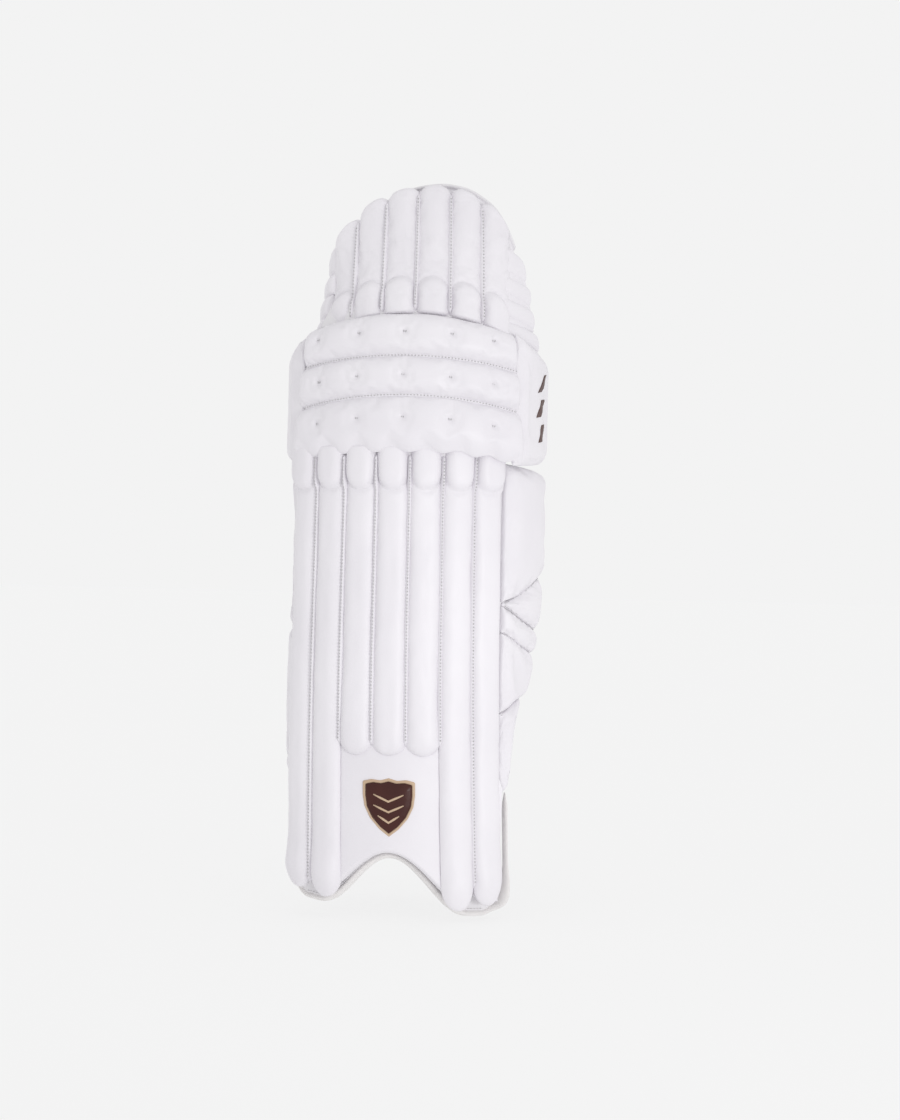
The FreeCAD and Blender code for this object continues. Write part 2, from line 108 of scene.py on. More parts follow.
def on_knee(phi, r, z):
    """Points of the knee section, a plain upright cylinder."""
    phi, r, z = alike(phi, r, z)
    angle = np.radians(phi)
    return np.stack([KNEE_X + r * np.sin(angle), KNEE_Y - r * np.cos(angle), z], -1)


def leaned(x, y, z):
    """Points of an upright hat, turned back by its lean."""
    up = z - HAT_PIVOT
    cos, sin = math.cos(HAT_LEAN), math.sin(HAT_LEAN)
    return np.stack([x, y * cos + up * sin, HAT_PIVOT + up * cos - y * sin], -1)


def on_hat(phi, r, z):
    """Points of the top hat, which narrows towards its crown and leans back."""
    phi, r, z = alike(phi, r, z)
    angle = np.radians(phi * (1 - 0.07 * np.clip((z - 0.60) / 0.10, 0, 1.2) ** 1.5))
    return leaned(HAT_X + r * np.sin(angle), HAT_Y - r * np.cos(angle), z)


# ---------------------------------------------------------------- mesh tools


def quarter(x):
    """Rises from 0 to 1 like a quarter circle as x goes from 0 to 1."""
    return np.sqrt(1 - (1 - np.clip(x, 0, 1)) ** 2)


def dip(x, width):
    """A bell: 1 at x = 0, and nearly 0 beyond twice the width."""
    return np.exp(-((x / width) ** 2))


def steps(*spans):
    """Heights or bearings with their own spacing in each span: (from, to, spacing)."""
    out = [np.linspace(a, b, max(2, round(abs(b - a) / gap) + 1))[:-1] for a, b, gap in spans]
    return np.append(np.concatenate(out), spans[-1][1])


def eased(count, sharp):
    """count numbers from 0 to 1, closer together at both ends, the more so if sharp is near 1."""
    t = np.linspace(0, 1, count)
    return (1 - sharp) * t + sharp * (1 - np.cos(np.pi * t)) / 2


def unit(vectors):
    """The vectors, each made one long."""
    return vectors / np.linalg.norm(vectors, axis=-1, keepdims=True)


def run_of(path):
    """The distance along a path at each of its points."""
    return np.concatenate([[0], np.cumsum(np.linalg.norm(np.diff(path, axis=0), axis=1))])


def at_run(where, run, values):
    """The values, one row for each point of a path, at the distance or distances where along it."""
    return np.stack([np.interp(where, run, column) for column in values.T], -1)


def add_mesh(name, verts, faces, material, body=None):
    """A smooth mesh object with outward normals, which rides on body if it has one."""
    mesh = bpy.data.meshes.new(name)
    mesh.from_pydata(np.asarray(verts).reshape(-1, 3).tolist(), [], faces)
    mesh.validate()
    outward = bmesh.new()
    outward.from_mesh(mesh)
    bmesh.ops.recalc_face_normals(outward, faces=outward.faces)
    outward.to_mesh(mesh)
    outward.free()
    mesh.shade_smooth()
    obj = bpy.data.objects.new(name, mesh)
    bpy.context.scene.collection.objects.link(obj)
    obj.data.materials.append(material)
    if body:
        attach(obj, body)
    return obj


def loft_faces(rings, around, base=0):
    """Quads of a closed loft of rings, and the two fans that close it on its last two points."""
    faces = []
    for i in range(rings - 1):
        for j in range(around):
            k = (j + 1) % around
            a, b = base + i * around, base + (i + 1) * around
            faces.append((a + j, a + k, b + k, b + j))
    first, last = base + rings * around, base + rings * around + 1
    end = base + (rings - 1) * around
    for j in range(around):
        k = (j + 1) % around
        faces.append((first, base + k, base + j))
        faces.append((last, end + j, end + k))
    return faces


def loft(name, rings, material, body):
    """A closed solid through rings, an array (ring, around, 3), ended in a point at each end."""
    count, around = rings.shape[:2]
    poles = np.stack([rings[0].mean(0), rings[-1].mean(0)])
    verts = np.concatenate([rings.reshape(-1, 3), poles])
    return add_mesh(name, verts, loft_faces(count, around), material, body)


def shell_faces(n, m):
    """Faces of two n by m grids, front then back, that share their border points."""
    inner, following = {}, n * m
    for i in range(1, n - 1):
        for j in range(1, m - 1):
            inner[i, j] = following
            following += 1
    faces = []
    for i in range(n - 1):
        for j in range(m - 1):
            corners = [(i, j), (i + 1, j), (i + 1, j + 1), (i, j + 1)]
            faces.append(tuple(a * m + b for a, b in corners))
            faces.append(tuple(inner.get(c, c[0] * m + c[1]) for c in corners[::-1]))
    return faces


def shell(name, front, back, material, body):
    """A closed pad between two grids of points, (n, m, 3). They meet on the border of the front."""
    n, m = front.shape[:2]
    verts = np.concatenate([front.reshape(-1, 3), back[1:-1, 1:-1].reshape(-1, 3)])
    return add_mesh(name, verts, shell_faces(n, m), material, body)


def crumple(obj, depth, size, seed, stretch=(1, 1, 1)):
    """Moves the points along their normals by smooth noise: size is the width of its swells."""
    mesh = obj.data
    scale = Vector((1 / (size * s) for s in stretch))
    offset = Vector((seed * 3.1, seed * 1.7, seed * 2.3))
    moves = []
    for vertex in mesh.vertices:
        point = Vector(a * b for a, b in zip(vertex.co, scale)) + offset
        moves.append(vertex.co + vertex.normal * depth * noise.noise(point))
    mesh.vertices.foreach_set("co", np.array(moves, float).ravel())
    mesh.update()


def points_of(obj):
    """The points of a mesh object, one row each."""
    co = np.zeros(len(obj.data.vertices) * 3)
    obj.data.vertices.foreach_get("co", co)
    return co.reshape(-1, 3)


PUFF_PRESSURE, PUFF_FRAMES = 2.5, 16


def puff(obj, held, slack=0.012, cap=0.0028):
    """Swells a pad by cloth simulation. held is 1 where its cover is sewn down, one value a point;
    slack is how much more cover there is than the shape needs, and cap is the most a point moves."""
    before = points_of(obj)
    pins = obj.vertex_groups.new(name="held")
    for level in (0.25, 0.5, 0.75, 1.0):
        chosen = np.flatnonzero(np.abs(held - level) <= 0.125)
        pins.add(chosen.tolist(), level, "REPLACE")
    cloth = obj.modifiers.new("puff", "CLOTH")
    cloth.settings.quality = 4
    cloth.settings.mass = 0.2
    cloth.settings.tension_stiffness = cloth.settings.compression_stiffness = 14
    cloth.settings.shear_stiffness = 6
    cloth.settings.bending_stiffness = 0.4
    cloth.settings.shrink_min = -slack
    cloth.settings.use_pressure = True
    cloth.settings.uniform_pressure_force = PUFF_PRESSURE
    cloth.settings.vertex_group_mass = pins.name
    cloth.settings.effector_weights.gravity = 0
    cloth.collision_settings.use_collision = False
    cloth.point_cache.frame_start, cloth.point_cache.frame_end = 1, PUFF_FRAMES
    for number in range(1, PUFF_FRAMES + 1):
        bpy.context.scene.frame_set(number)
    swollen = obj.evaluated_get(bpy.context.evaluated_depsgraph_get())
    after = points_of(swollen)
    obj.modifiers.remove(cloth)
    obj.vertex_groups.remove(pins)
    move = after - before
    far = np.linalg.norm(move, axis=1)[:, None]
    move *= cap * np.tanh(far / cap) / np.maximum(far, 1e-9)
    obj.data.vertices.foreach_set("co", (before + move).ravel())
    obj.data.update()
    bpy.context.scene.frame_set(1)


# ---------------------------------------------------------------- stitches

THREADS = {}


def stitches(group, path, lift, length=0.0022, gap=0.0014, radius=0.00038):
    """Lays short raised stitches along path, an array of points, pushed out along lift (one vector
    or one per point). They join the thread object of that group at the end."""
    path = np.asarray(path, float)
    lift = np.broadcast_to(np.asarray(lift, float), path.shape)
    run = run_of(path)
    at = gap
    while at + length < run[-1]:
        start, end = at_run([at, at + length], run, path)
        THREADS.setdefault(group, []).append((start, end, unit(at_run(at, run, lift)), radius))
        at += length + gap


def build_threads(material, bodies):
    """One mesh for each group of stitches. A stitch is a small pointed bead, sunk at its ends."""
    around = 6
    turn = np.linspace(0, 2 * np.pi, around, endpoint=False)
    for group, items in THREADS.items():
        verts, faces = [], []
        for a, b, up, radius in items:
            side = np.cross(unit(b - a), up)
            for share, grow, rise in ((0.16, 0.85, 0.25), (0.5, 1.0, 0.55), (0.84, 0.85, 0.25)):
                centre = a + (b - a) * share + up * radius * rise
                for angle in turn:
                    ring = side * math.cos(angle) + up * math.sin(angle)
                    verts.append(centre + ring * radius * grow)
            faces += loft_faces(3, around, len(verts) - 3 * around)
            verts += [a - up * radius * 0.5, b - up * radius * 0.5]
        add_mesh(f"{group}_stitches", verts, faces, material, bodies[group])


# ---------------------------------------------------------------- materials


class Shader:
    """A small helper that builds a node material: a Principled shader fed by procedural textures."""

    def __init__(self, name, **sockets):
        self.material = bpy.data.materials.new(name)
        self.material.use_nodes = True
        self.tree = self.material.node_tree
        self.bsdf = self.tree.nodes["Principled BSDF"]
        for socket, value in sockets.items():
            self.bsdf.inputs[socket.replace("_", " ")].default_value = value
        self.place = self.node("ShaderNodeTexCoord").outputs["Object"]

    def node(self, kind, **values):
        made = self.tree.nodes.new(kind)
        for key, value in values.items():
            if key in made.inputs:
                made.inputs[key].default_value = value
            else:
                setattr(made, key, value)
        return made

    def link(self, source, target):
        self.tree.links.new(source, target)

    def scaled(self, factors):
        mapping = self.node("ShaderNodeMapping")
        mapping.inputs["Scale"].default_value = factors
        self.link(self.place, mapping.inputs["Vector"])
        return mapping.outputs["Vector"]

    def noise(self, scale, detail=3.0, place=None, rough=0.55):
        made = self.node("ShaderNodeTexNoise", Scale=scale, Detail=detail, Roughness=rough)
        self.link(place or self.place, made.inputs["Vector"])
        return made.outputs["Fac"]

    def cells(self, scale, feature="F1"):
        made = self.node("ShaderNodeTexVoronoi", Scale=scale, feature=feature)
        self.link(self.place, made.inputs["Vector"])
        return made.outputs["Distance"]

    def waves(self, scale, axis):
        made = self.node("ShaderNodeTexWave", Scale=scale, bands_direction=axis)
        self.link(self.place, made.inputs["Vector"])
        return made.outputs["Fac"]

    def combine(self, operation, a, b):
        made = self.node("ShaderNodeMath", operation=operation)
        for socket, value in zip(made.inputs, (a, b)):
            if isinstance(value, (int, float)):
                socket.default_value = value
            else:
                self.link(value, socket)
        return made.outputs[0]

    def colours(self, source, stops):
        ramp = self.node("ShaderNodeValToRGB")
        elements = ramp.color_ramp.elements
        while len(elements) < len(stops):
            elements.new(0.5)
        for element, (at, colour) in zip(elements, stops):
            element.position, element.color = at, (*colour, 1)
        self.link(source, ramp.inputs["Fac"])
        self.link(ramp.outputs["Color"], self.bsdf.inputs["Base Color"])

    def roughness(self, source, low, high):
        made = self.node("ShaderNodeMapRange")
        made.inputs["To Min"].default_value, made.inputs["To Max"].default_value = low, high
        self.link(source, made.inputs["Value"])
        self.link(made.outputs["Result"], self.bsdf.inputs["Roughness"])

    def bumps(self, *layers):
        """layers are (height, strength, distance in metres), laid one over the other."""
        below = None
        for height, strength, distance in layers:
            bump = self.node("ShaderNodeBump", Strength=strength, Distance=distance)
            self.link(height, bump.inputs["Height"])
            if below:
                self.link(below, bump.inputs["Normal"])
            below = bump.outputs["Normal"]
        self.link(below, self.bsdf.inputs["Normal"])


def leather(name, dark, light, rough=(0.40, 0.54), grain=1.0, coat=0.0, shine=0.42):
    """Coated synthetic leather: pebbled grain, faint hairline creases, soft cloudy colour."""
    s = Shader(
        name, Specular_IOR_Level=shine, Sheen_Weight=0.10 * shine, Sheen_Roughness=0.5, Coat_Weight=coat,
    )
    cloud = s.noise(9.0, 4.0)
    s.colours(cloud, [(0.30, dark), (0.72, light)])
    pebble = s.cells(1150.0, "SMOOTH_F1")
    hair = s.noise(300.0, 5.0, s.scaled((1.0, 1.0, 0.45)), 0.7)
    s.roughness(s.noise(38.0, 4.0), *rough)
    s.bumps(
        (s.noise(60.0, 3.0), 0.10 * grain, 0.0008),
        (hair, 0.16 * grain, 0.0003),
        (pebble, 0.30 * grain, 0.00022),
    )
    return s.material


def woven(name, dark, light, pitch, strength):
    """Plain weave or webbing: two crossing sets of threads of that pitch, in metres."""
    s = Shader(name, Roughness=0.86, Specular_IOR_Level=0.2, Sheen_Weight=0.35, Sheen_Roughness=0.6)
    count = math.pi / pitch / 10
    across = s.combine("ADD", s.waves(count, "X"), s.waves(count, "Y"))
    weave = s.combine("MULTIPLY", across, s.waves(count, "Z"))
    s.colours(weave, [(0.15, dark), (0.75, light)])
    s.bumps((weave, strength, 0.0004), (s.noise(1400.0, 3.0), 0.25, 0.0002))
    return s.material


def mesh_knit(name, dark, light, pitch):
    """Spacer-mesh lining: rows of small round holes in a soft knit."""
    s = Shader(name, Roughness=0.9, Specular_IOR_Level=0.15, Sheen_Weight=0.4, Sheen_Roughness=0.7)
    holes = s.cells(1 / pitch)
    s.colours(holes, [(0.18, dark), (0.42, light)])
    s.bumps((s.noise(24.0, 3.0), 0.2, 0.0012), (holes, 0.7, 0.0005), (s.noise(1500.0, 2.0), 0.2, 0.0002))
    return s.material


def tape(name, dark, light, pitch, strength):
    """Hook or loop tape: a field of tiny raised points."""
    s = Shader(name, Roughness=0.8, Specular_IOR_Level=0.25, Sheen_Weight=0.3)
    points = s.cells(1 / pitch)
    s.colours(points, [(0.1, light), (0.6, dark)])
    s.bumps((points, strength, 0.0006), (s.noise(900.0, 4.0), 0.3, 0.0003))
    return s.material


def cane_wood(name):
    """Split cane: long pale fibres."""
    s = Shader(name, Roughness=0.55)
    fibres = s.noise(400.0, 6.0, s.scaled((1.0, 1.0, 0.03)), 0.65)
    s.colours(fibres, [(0.3, (0.52, 0.37, 0.17)), (0.7, (0.80, 0.66, 0.40))])
    s.bumps((fibres, 0.4, 0.0004))
    return s.material


def studio_floor(name):
    """A pale, nearly shadowless floor: mostly its own light, with a little that takes shade."""
    s = Shader(name, Roughness=0.9)
    speck = s.noise(3.0, 2.0)
    s.colours(speck, [(0.0, (0.885, 0.885, 0.885)), (1.0, (0.905, 0.905, 0.905))])
    glow = s.node("ShaderNodeEmission", Strength=1.0)
    glow.inputs["Color"].default_value = (0.922, 0.922, 0.922, 1)
    mix = s.node("ShaderNodeMixShader")
    mix.inputs[0].default_value = 0.80
    s.link(s.bsdf.outputs[0], mix.inputs[1])
    s.link(glow.outputs[0], mix.inputs[2])
    s.link(mix.outputs[0], s.tree.nodes["Material Output"].inputs["Surface"])
    return s.material


WHITE = leather("white_leather", (0.752, 0.730, 0.770), (0.802, 0.782, 0.817))
EDGE = leather("edge_leather", (0.75, 0.735, 0.76), (0.81, 0.795, 0.815), (0.5, 0.62))
BROWN = leather("brown_leather", (0.042, 0.010, 0.008), (0.092, 0.026, 0.018), (0.30, 0.45), 1.3, 0.04, 0.22)
TAN = leather("tan_leather", (0.50, 0.36, 0.24), (0.66, 0.50, 0.36), (0.38, 0.5))
PRINT = leather("brown_print", (0.060, 0.026, 0.022), (0.100, 0.050, 0.042), (0.35, 0.5), 0.7, 0.0, 0.22)
LINING = mesh_knit("knit_lining", (0.62, 0.61, 0.62), (0.78, 0.77, 0.785), 0.0019)
FELT = woven("felt_cover", (0.70, 0.69, 0.69), (0.84, 0.83, 0.83), 0.0011, 0.35)
BINDING = woven("binding_tape", (0.78, 0.755, 0.750), (0.87, 0.85, 0.845), 0.0009, 0.5)
WEBBING = woven("webbing", (0.66, 0.655, 0.67), (0.88, 0.875, 0.89), 0.0016, 0.9)
HOOKS = tape("hook_tape", (0.66, 0.66, 0.68), (0.90, 0.90, 0.92), 0.0013, 0.9)
LOOPS = tape("loop_tape", (0.72, 0.72, 0.73), (0.86, 0.86, 0.87), 0.0008, 0.6)
THREAD = woven("thread", (0.50, 0.49, 0.50), (0.70, 0.69, 0.70), 0.0007, 0.7)
CANE = cane_wood("cane_wood")

NODE_MATERIALS = {
    "face": WHITE, "board": FELT, "lining": LINING, "binding": BINDING, "webbing": WEBBING,
    "hook_tape": HOOKS, "loop_tape": LOOPS, "cane": CANE, "badge": BROWN,
}
for part in frame["record"]["subparts"]:
    node_mesh = frame["nodes"][part["node"]].data
    node_mesh.materials.clear()
    node_mesh.materials.append(NODE_MATERIALS[part["material_slot"]])

# ---------------------------------------------------------------- shin rolls

AROUND = np.linspace(0, 2 * np.pi, 48, endpoint=False)
ROLL_LOWS = (0.024, 0.0180, 0.156, 0.156, 0.156, 0.0090, 0.0120)
ROLL_TOP, BUMP_LOW = 0.4525, 0.409
ROLL_HALF, ROLL_DEEP = 0.0156, 0.0175
WELT_HIGH, WELT_HALF = 0.0043, 0.0027


def roll_section(place, centre, seam, zs, half, front, back, ends, warp=None, square=1.0):
    """Rings of a vertical roll. half, front and back are its half width, its height over the seam
    and its depth behind it, each a number or a function of (across, z). ends are its cap lengths.
    square below 1 keeps the ends broad, and warp moves the rings' heights."""
    across, out = np.cos(AROUND), np.sin(AROUND)
    rings = []
    for z in zs:
        shrink = quarter((z - zs[0]) / ends[0] + 0.012) * quarter((zs[-1] - z) / ends[1] + 0.012)
        wide, high, deep = (f(across, z) if callable(f) else f for f in (half, front, back))
        phi = centre + np.degrees(wide * across / seam) * shrink**square
        r = seam + np.where(out > 0, high, deep * out) * shrink
        rings.append(place(phi, r, warp(phi, z) if warp else z))
    return np.array(rings)


def crest(across, sharp):
    """Profile across a stitched roll: it rises from both seams at an angle, faster if sharp is high."""
    return 1 - np.abs(across) ** sharp


def shin_front(low, foot):
    """Height of a shin roll over its seams: swollen by foot near its low end and in a bump at its top."""
    def front(across, z):
        over = z - BUMP_LOW - 0.012 * np.abs(across) ** 2.5
        body = 0.0066 * (1 - 0.26 * dip(over, 0.0038)) - 0.0005 * dip(over + 0.018, 0.014)
        body = body + foot * dip(z - low - 0.024, 0.017)
        return body * crest(across, 3.2) + 0.0052 * quarter(over / 0.015) * crest(across, 7)
    return front


def shin_half(index, foot):
    """Half width of a shin roll. The two outermost also swell outwards at both ends."""
    def half(across, z):
        outer = {1: across < 0, 7: across > 0}.get(index, False)
        swell = 0.0036 * quarter((z - BUMP_LOW) / 0.012) + foot * 0.6 * dip(z - 0.045, 0.022)
        return ROLL_HALF + np.where(outer, swell, 0)
    return half


def build_shin_rolls():
    """The seven shin rolls. The middle three end above the instep panel."""
    for index, low in enumerate(ROLL_LOWS, start=1):
        foot, cap = (0.0028, 0.022) if low < 0.1 else (0.0014, 0.013)
        zs = steps((low, low + 0.03, 0.0015), (low + 0.03, 0.396, 0.0042), (0.396, ROLL_TOP, 0.0012))
        rings = roll_section(
            on_shin, (index - 4) * SHIN_PITCH, SHIN_SEAM, zs,
            shin_half(index, foot), shin_front(low, foot), ROLL_DEEP, (cap, 0.004),
        )
        piece = loft(f"shin_roll_{index}_cover", rings, WHITE, "shin")
        crumple(piece, 0.0011, 0.026, index, (1, 1, 2.6))
        crumple(piece, 0.0004, 0.008, index + 9, (1, 1, 2.0))
        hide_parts(f"shin_roll_{index}")


def seam_welt(place, phi, seam, low, high, name, body, rise):
    """The sewn tape at the bottom of a valley between two rolls, with its row of stitches. rise gives
    how much higher it stands, at a height, than WELT_HIGH."""
    zs = steps((low, high, 0.005))

    def front(across, z):
        return (WELT_HIGH + rise(z)) * crest(across, 2)

    rings = roll_section(place, phi, seam, zs, WELT_HALF, front, 0.004, (0.002, 0.002))
    loft(name, rings, WHITE, body)
    run = steps((low + 0.004, high - 0.004, 0.004))
    line = place(phi, seam + WELT_HIGH + rise(run) + 0.0002, run)
    lift = place(phi, seam + 0.01, 0.3) - place(phi, seam, 0.3)
    stitches(body, line, lift, length=0.0018, gap=0.0014, radius=0.00065)


def build_shin_seams():
    """The sewn tapes between the shin rolls."""
    for k in range(6):
        low = 0.030 if k in (0, 5) else 0.165
        seam_welt(
            on_shin, (k - 2.5) * SHIN_PITCH, SHIN_SEAM, low, 0.444, f"shin_seam_{k + 1}", "shin",
            lambda z: 0.0036 * quarter((z - BUMP_LOW) / 0.012),
        )


# ---------------------------------------------------------------- curved layers


def arch(phi):
    """Height of the shin's lower edge: two lobes and a bell-shaped arch for the instep. It is
    lower on the outer side."""
    base, rise, half_width, tilt = 0.0075, 0.0515, 0.073, 0.0068
    run = np.radians(phi) * 0.128
    bell = 0.5 * (1 + np.cos(np.pi * np.clip(np.abs(run) / half_width, 0, 1)))
    lobe = 0.016 * np.clip((np.abs(run) - 0.088) / 0.022, 0, 1) ** 2
    return base + rise * bell + lobe - tilt * phi / 47


def layer(name, place, span, low, high, middle, front, back, edge, material, body, grid=(90, 120),
          relief=None):
    """A curved padded layer. low and high give its lower and upper edge at a bearing; front and back
    are its depths before and behind the radius middle; edge is how far its rim is rounded. relief
    returns extra (front, back) depth at (bearing, z)."""
    a, b = eased(grid[0], 0.75), eased(grid[1], 0.75)
    phi = np.repeat((span[0] + a * (span[1] - span[0]))[:, None], grid[1], 1)
    bottom, top = low(phi), high(phi)
    z = bottom + b[None, :] * (top - bottom)
    side = np.radians(np.minimum(phi - span[0], span[1] - phi)) * middle
    rim = quarter(side / edge) * quarter(np.minimum(z - bottom, top - z) / edge)
    more_front, more_back = relief(phi, z) if relief else (0, 0)
    front_grid = place(phi, middle + (front + more_front) * rim, z)
    back_grid = place(phi, middle - (back + more_back) * rim, z)
    return shell(name, front_grid, back_grid, material, body)


def flat_edge(value):
    """An edge of a layer that stays at one height."""
    return lambda phi: np.full_like(phi, value)


def quilting(row, first, depth, columns, groove, wide):
    """Relief for a layer: soft pads on the leg side, parted by level channels every row metres and
    by upright grooves at the bearings in columns."""
    def relief(phi, z):
        phase = ((z - first) / row) % 1
        pads = depth * (quarter(np.minimum(phase, 1 - phase) * 6) - 1)
        for column in columns:
            pads = pads - groove * dip(phi - column, wide)
        return 0, pads
    return relief


def build_shin_layers():
    """The shin's backing and its quilted lining."""
    board = layer(
        "shin_board_cover", on_shin, (-47.5, 47.5), arch, flat_edge(0.442), SHIN_BOARD, 0.0045, 0.0035,
        0.006, EDGE, "shin",
    )
    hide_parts("shin_board")
    relief = quilting(0.062, 0.035, 0.0035, (-27.0, -9.0, 9.0, 27.0), 0.003, 1.2)
    lining = layer(
        "shin_lining_pad", on_shin, (-46.0, 46.0), lambda phi: arch(phi) + 0.003, flat_edge(0.436),
        SHIN_INSIDE, 0.0040, 0.0095, 0.012, LINING, "shin", (120, 160), relief,
    )
    crumple(lining, 0.0009, 0.02, 3)
    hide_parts("shin_lining")


def tape_round(name, path, out, up, body, radii, material, sizes=None):
    """A folded tape along path: an oval tube whose first radius lies along out and second along up.
    sizes scales it at each point."""
    path = np.asarray(path)
    rings = []
    for i, point in enumerate(path):
        swell = 1.0 if 0 < i < len(path) - 1 else 0.5
        if sizes is not None:
            swell = sizes[i]
        oval = np.outer(np.cos(AROUND[::3]) * radii[0] * swell, out[i])
        oval += np.outer(np.sin(AROUND[::3]) * radii[1] * swell, up[i])
        rings.append(point + oval)
    return loft(name, np.array(rings), material, body)


def edge_frames(place, phi, r, z):
    """Points of a line on a section, with the outward and in-surface directions square to it."""
    points = place(phi, r, z)
    outward = unit(place(phi, r + 0.01, z) - points)
    return points, outward, unit(np.cross(outward, np.gradient(points, axis=0)))


def build_binding():
    """The pale tape folded over the lower edge and up the two sides, with its row of stitches, and
    the flange behind the shin's outer edge."""
    corner = 47.5
    phi = np.linspace(-corner, corner, 150)
    rise = steps((0.032, 0.119, 0.005))
    phi_all = np.concatenate([np.full(len(rise), -corner), phi, np.full(len(rise), corner)])
    z_all = np.concatenate([rise[::-1], arch(phi), rise])
    for _ in range(3):
        z_all[1:-1] = (z_all[:-2] + 2 * z_all[1:-1] + z_all[2:]) / 4
        phi_all[1:-1] = (phi_all[:-2] + 2 * phi_all[1:-1] + phi_all[2:]) / 4
    reach = 0.1225 + 0.0180 * np.clip((phi_all - 42) / 5.5, 0, 1) ** 2
    points, out, up = edge_frames(on_shin, phi_all, reach, z_all)
    side = np.clip((np.abs(phi_all) - 45) / 2.4, 0, 1)
    taper = np.clip((z_all - 0.100) / 0.019, 0, 1) ** 2
    narrow = 0.5 * np.clip((z_all - 0.018) / 0.03, 0, 1) + 0.4 * taper
    piece = tape_round(
        "edge_binding", points, out, up, "shin", (0.0070, 0.0034), BINDING, 1 - side * narrow,
    )
    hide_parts("instep_binding")
    middle = np.abs(phi_all) < 40
    line = on_shin(phi_all, 0.1285, z_all + 0.0046)[middle]
    stitches("binding", line, out[middle])
    flange = pillow(
        "shin_flange", wing_place(1, (0.0975, -0.0100), 72.0, 0.0, 0.012),
        [(0.0, 0.017), (0.0075, 0.015), (0.0100, 0.124), (0.0, 0.150)], (0, 0, 0, 0), (0.0035, 0.0035), 0.004,
        WHITE, "shin", (14, 60),
    )


def build_instep():
    """The smooth instep panel, with the stitches just inside its border."""
    span = (-19.7, 19.7)

    def relief(phi, _):
        return 0.0012 * dip(phi, 14), 0

    panel = layer(
        "instep_panel_cover", on_shin, span, lambda phi: arch(phi) + 0.0035, flat_edge(0.176), 0.1365,
        0.0080, 0.0095, 0.0045, WHITE, "shin", (70, 80), relief,
    )
    crumple(panel, 0.0006, 0.03, 5)
    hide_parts("instep_panel")
    for phi in (span[0] + 2.3, span[1] - 2.3):
        zs = steps((float(arch(np.array(phi))) + 0.008, 0.152, 0.004))
        stitches("shin", on_shin(phi, 0.1436, zs), on_shin(phi, 0.15, 0.1) - on_shin(phi, 0.13, 0.1))
    across = np.linspace(span[0] + 2, span[1] - 2, 60)
    rim = on_shin(across, 0.1440, arch(across) + 0.0085)
    stitches("shin", rim, on_shin(across, 0.15, 0.1) - on_shin(across, 0.13, 0.1))


PANEL_FACE = 0.1445
# The right half of the badge's outline, upwards from its point, in halves of its width and height.
SHIELD = [
    (0.0, -1.0), (0.34, -0.74), (0.66, -0.38), (0.86, 0.02), (0.92, 0.42), (0.92, 0.86), (0.62, 0.93),
    (0.30, 0.90), (0.0, 0.98),
]


def shield_outline():
    """The points of the whole outline, evenly spaced, from its right half."""
    count = 96
    right = np.array(SHIELD)
    left = right[-2:0:-1] * [-1, 1]
    closed = np.concatenate([right, left, right[:1]])
    run = run_of(closed)
    return at_run(np.linspace(0, run[-1], count, endpoint=False), run, closed)


def badge_piece(name, outline, centre, half, profile, material):
    """A raised motif on the instep: outline scaled inwards ring by ring, each (scale, height)."""
    rings = []
    for scale, height in profile:
        x, z = outline[:, 0] * scale * half[0], outline[:, 1] * scale * half[1]
        phi = np.degrees((x + centre[0]) / PANEL_FACE)
        rings.append(on_shin(phi, PANEL_FACE + 0.0007 + height, z + centre[1]))
    return loft(name, np.array(rings), material, "shin")


def build_badge():
    """The shield on the instep: a tan rim, a brown field, and three tan chevrons."""
    centre, half = (0.0, 0.107), (0.026, 0.028)
    outline = shield_outline()
    rim = [(1.0, -0.001), (1.0, 0.0008), (0.97, 0.0015), (0.92, 0.0015), (0.89, 0.0008), (0.5, -0.0005)]
    badge_piece("badge_trim", outline, centre, half, rim, TAN)
    field = [
        (0.90, 0.0002), (0.88, 0.0018), (0.82, 0.0027), (0.60, 0.0031), (0.40, 0.0033), (0.2, 0.0034),
        (0.05, 0.0034),
    ]
    shield = badge_piece("badge_field", outline, centre, half, field, BROWN)
    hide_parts("emblem_badge")
    for number, (level, reach) in enumerate(((0.116, 0.0135), (0.106, 0.0135), (0.096, 0.0095)), start=1):
        x = np.linspace(-reach, reach, 5)
        z = level - 0.0035 + 0.0065 * np.abs(x) / reach
        path, out, up = edge_frames(on_shin, np.degrees(x / PANEL_FACE), 0.1484, z)
        tape_round(f"badge_bar_{number}", path, out, up, "shin", (0.0010, 0.0011), TAN)


# ---------------------------------------------------------------- knee section

# Each knee roll, from the bottom: its name, the height of its tacks, and their bearings.
TACK_ROWS = (
    ("bottom", 0.4775, (-30.5, -15.4, 0.2, 15.6, 30.6)),
    ("middle", 0.5175, (-30.2, -15.6, 0.0, 15.5, 30.2)),
    ("top", 0.5585, (-30.8, -15.2, 0.3, 15.7, 30.0)),
)
KNEE_DROPS = (0.0085, 0.0125, 0.0110, 0.0165)


def knee_edges(level, phi):
    """Height of the knee section's seam lines, 0 the lowest to 3 the top. They fall to both sides,
    and the lowest is drawn up over each shin roll."""
    line = KNEE_SEAMS[level] - KNEE_DROPS[level] * (phi / 40) ** 2
    if level == 0:
        x = KNEE_X + KNEE_SEAM * np.sin(np.radians(phi))
        roll = np.degrees(np.arcsin(np.clip(x / SHIN_SEAM, -1, 1)))
        line = line - 0.0034 + 0.0017 * np.cos(np.radians(roll * 360 / SHIN_PITCH))
    return line


def tack_level(tack_z, phi):
    """Height of a row of tacks at a bearing, falling to both sides like the seams."""
    return tack_z - 0.011 * (phi / 40) ** 2


def knee_ends(z):
    """Bearings of the two ends of the knee rolls, which widen downwards."""
    drop = np.clip((KNEE_SEAMS[3] - z) / 0.12, 0, 1)
    return -37.5 - 4.0 * drop, 39.5 + 2.2 * drop


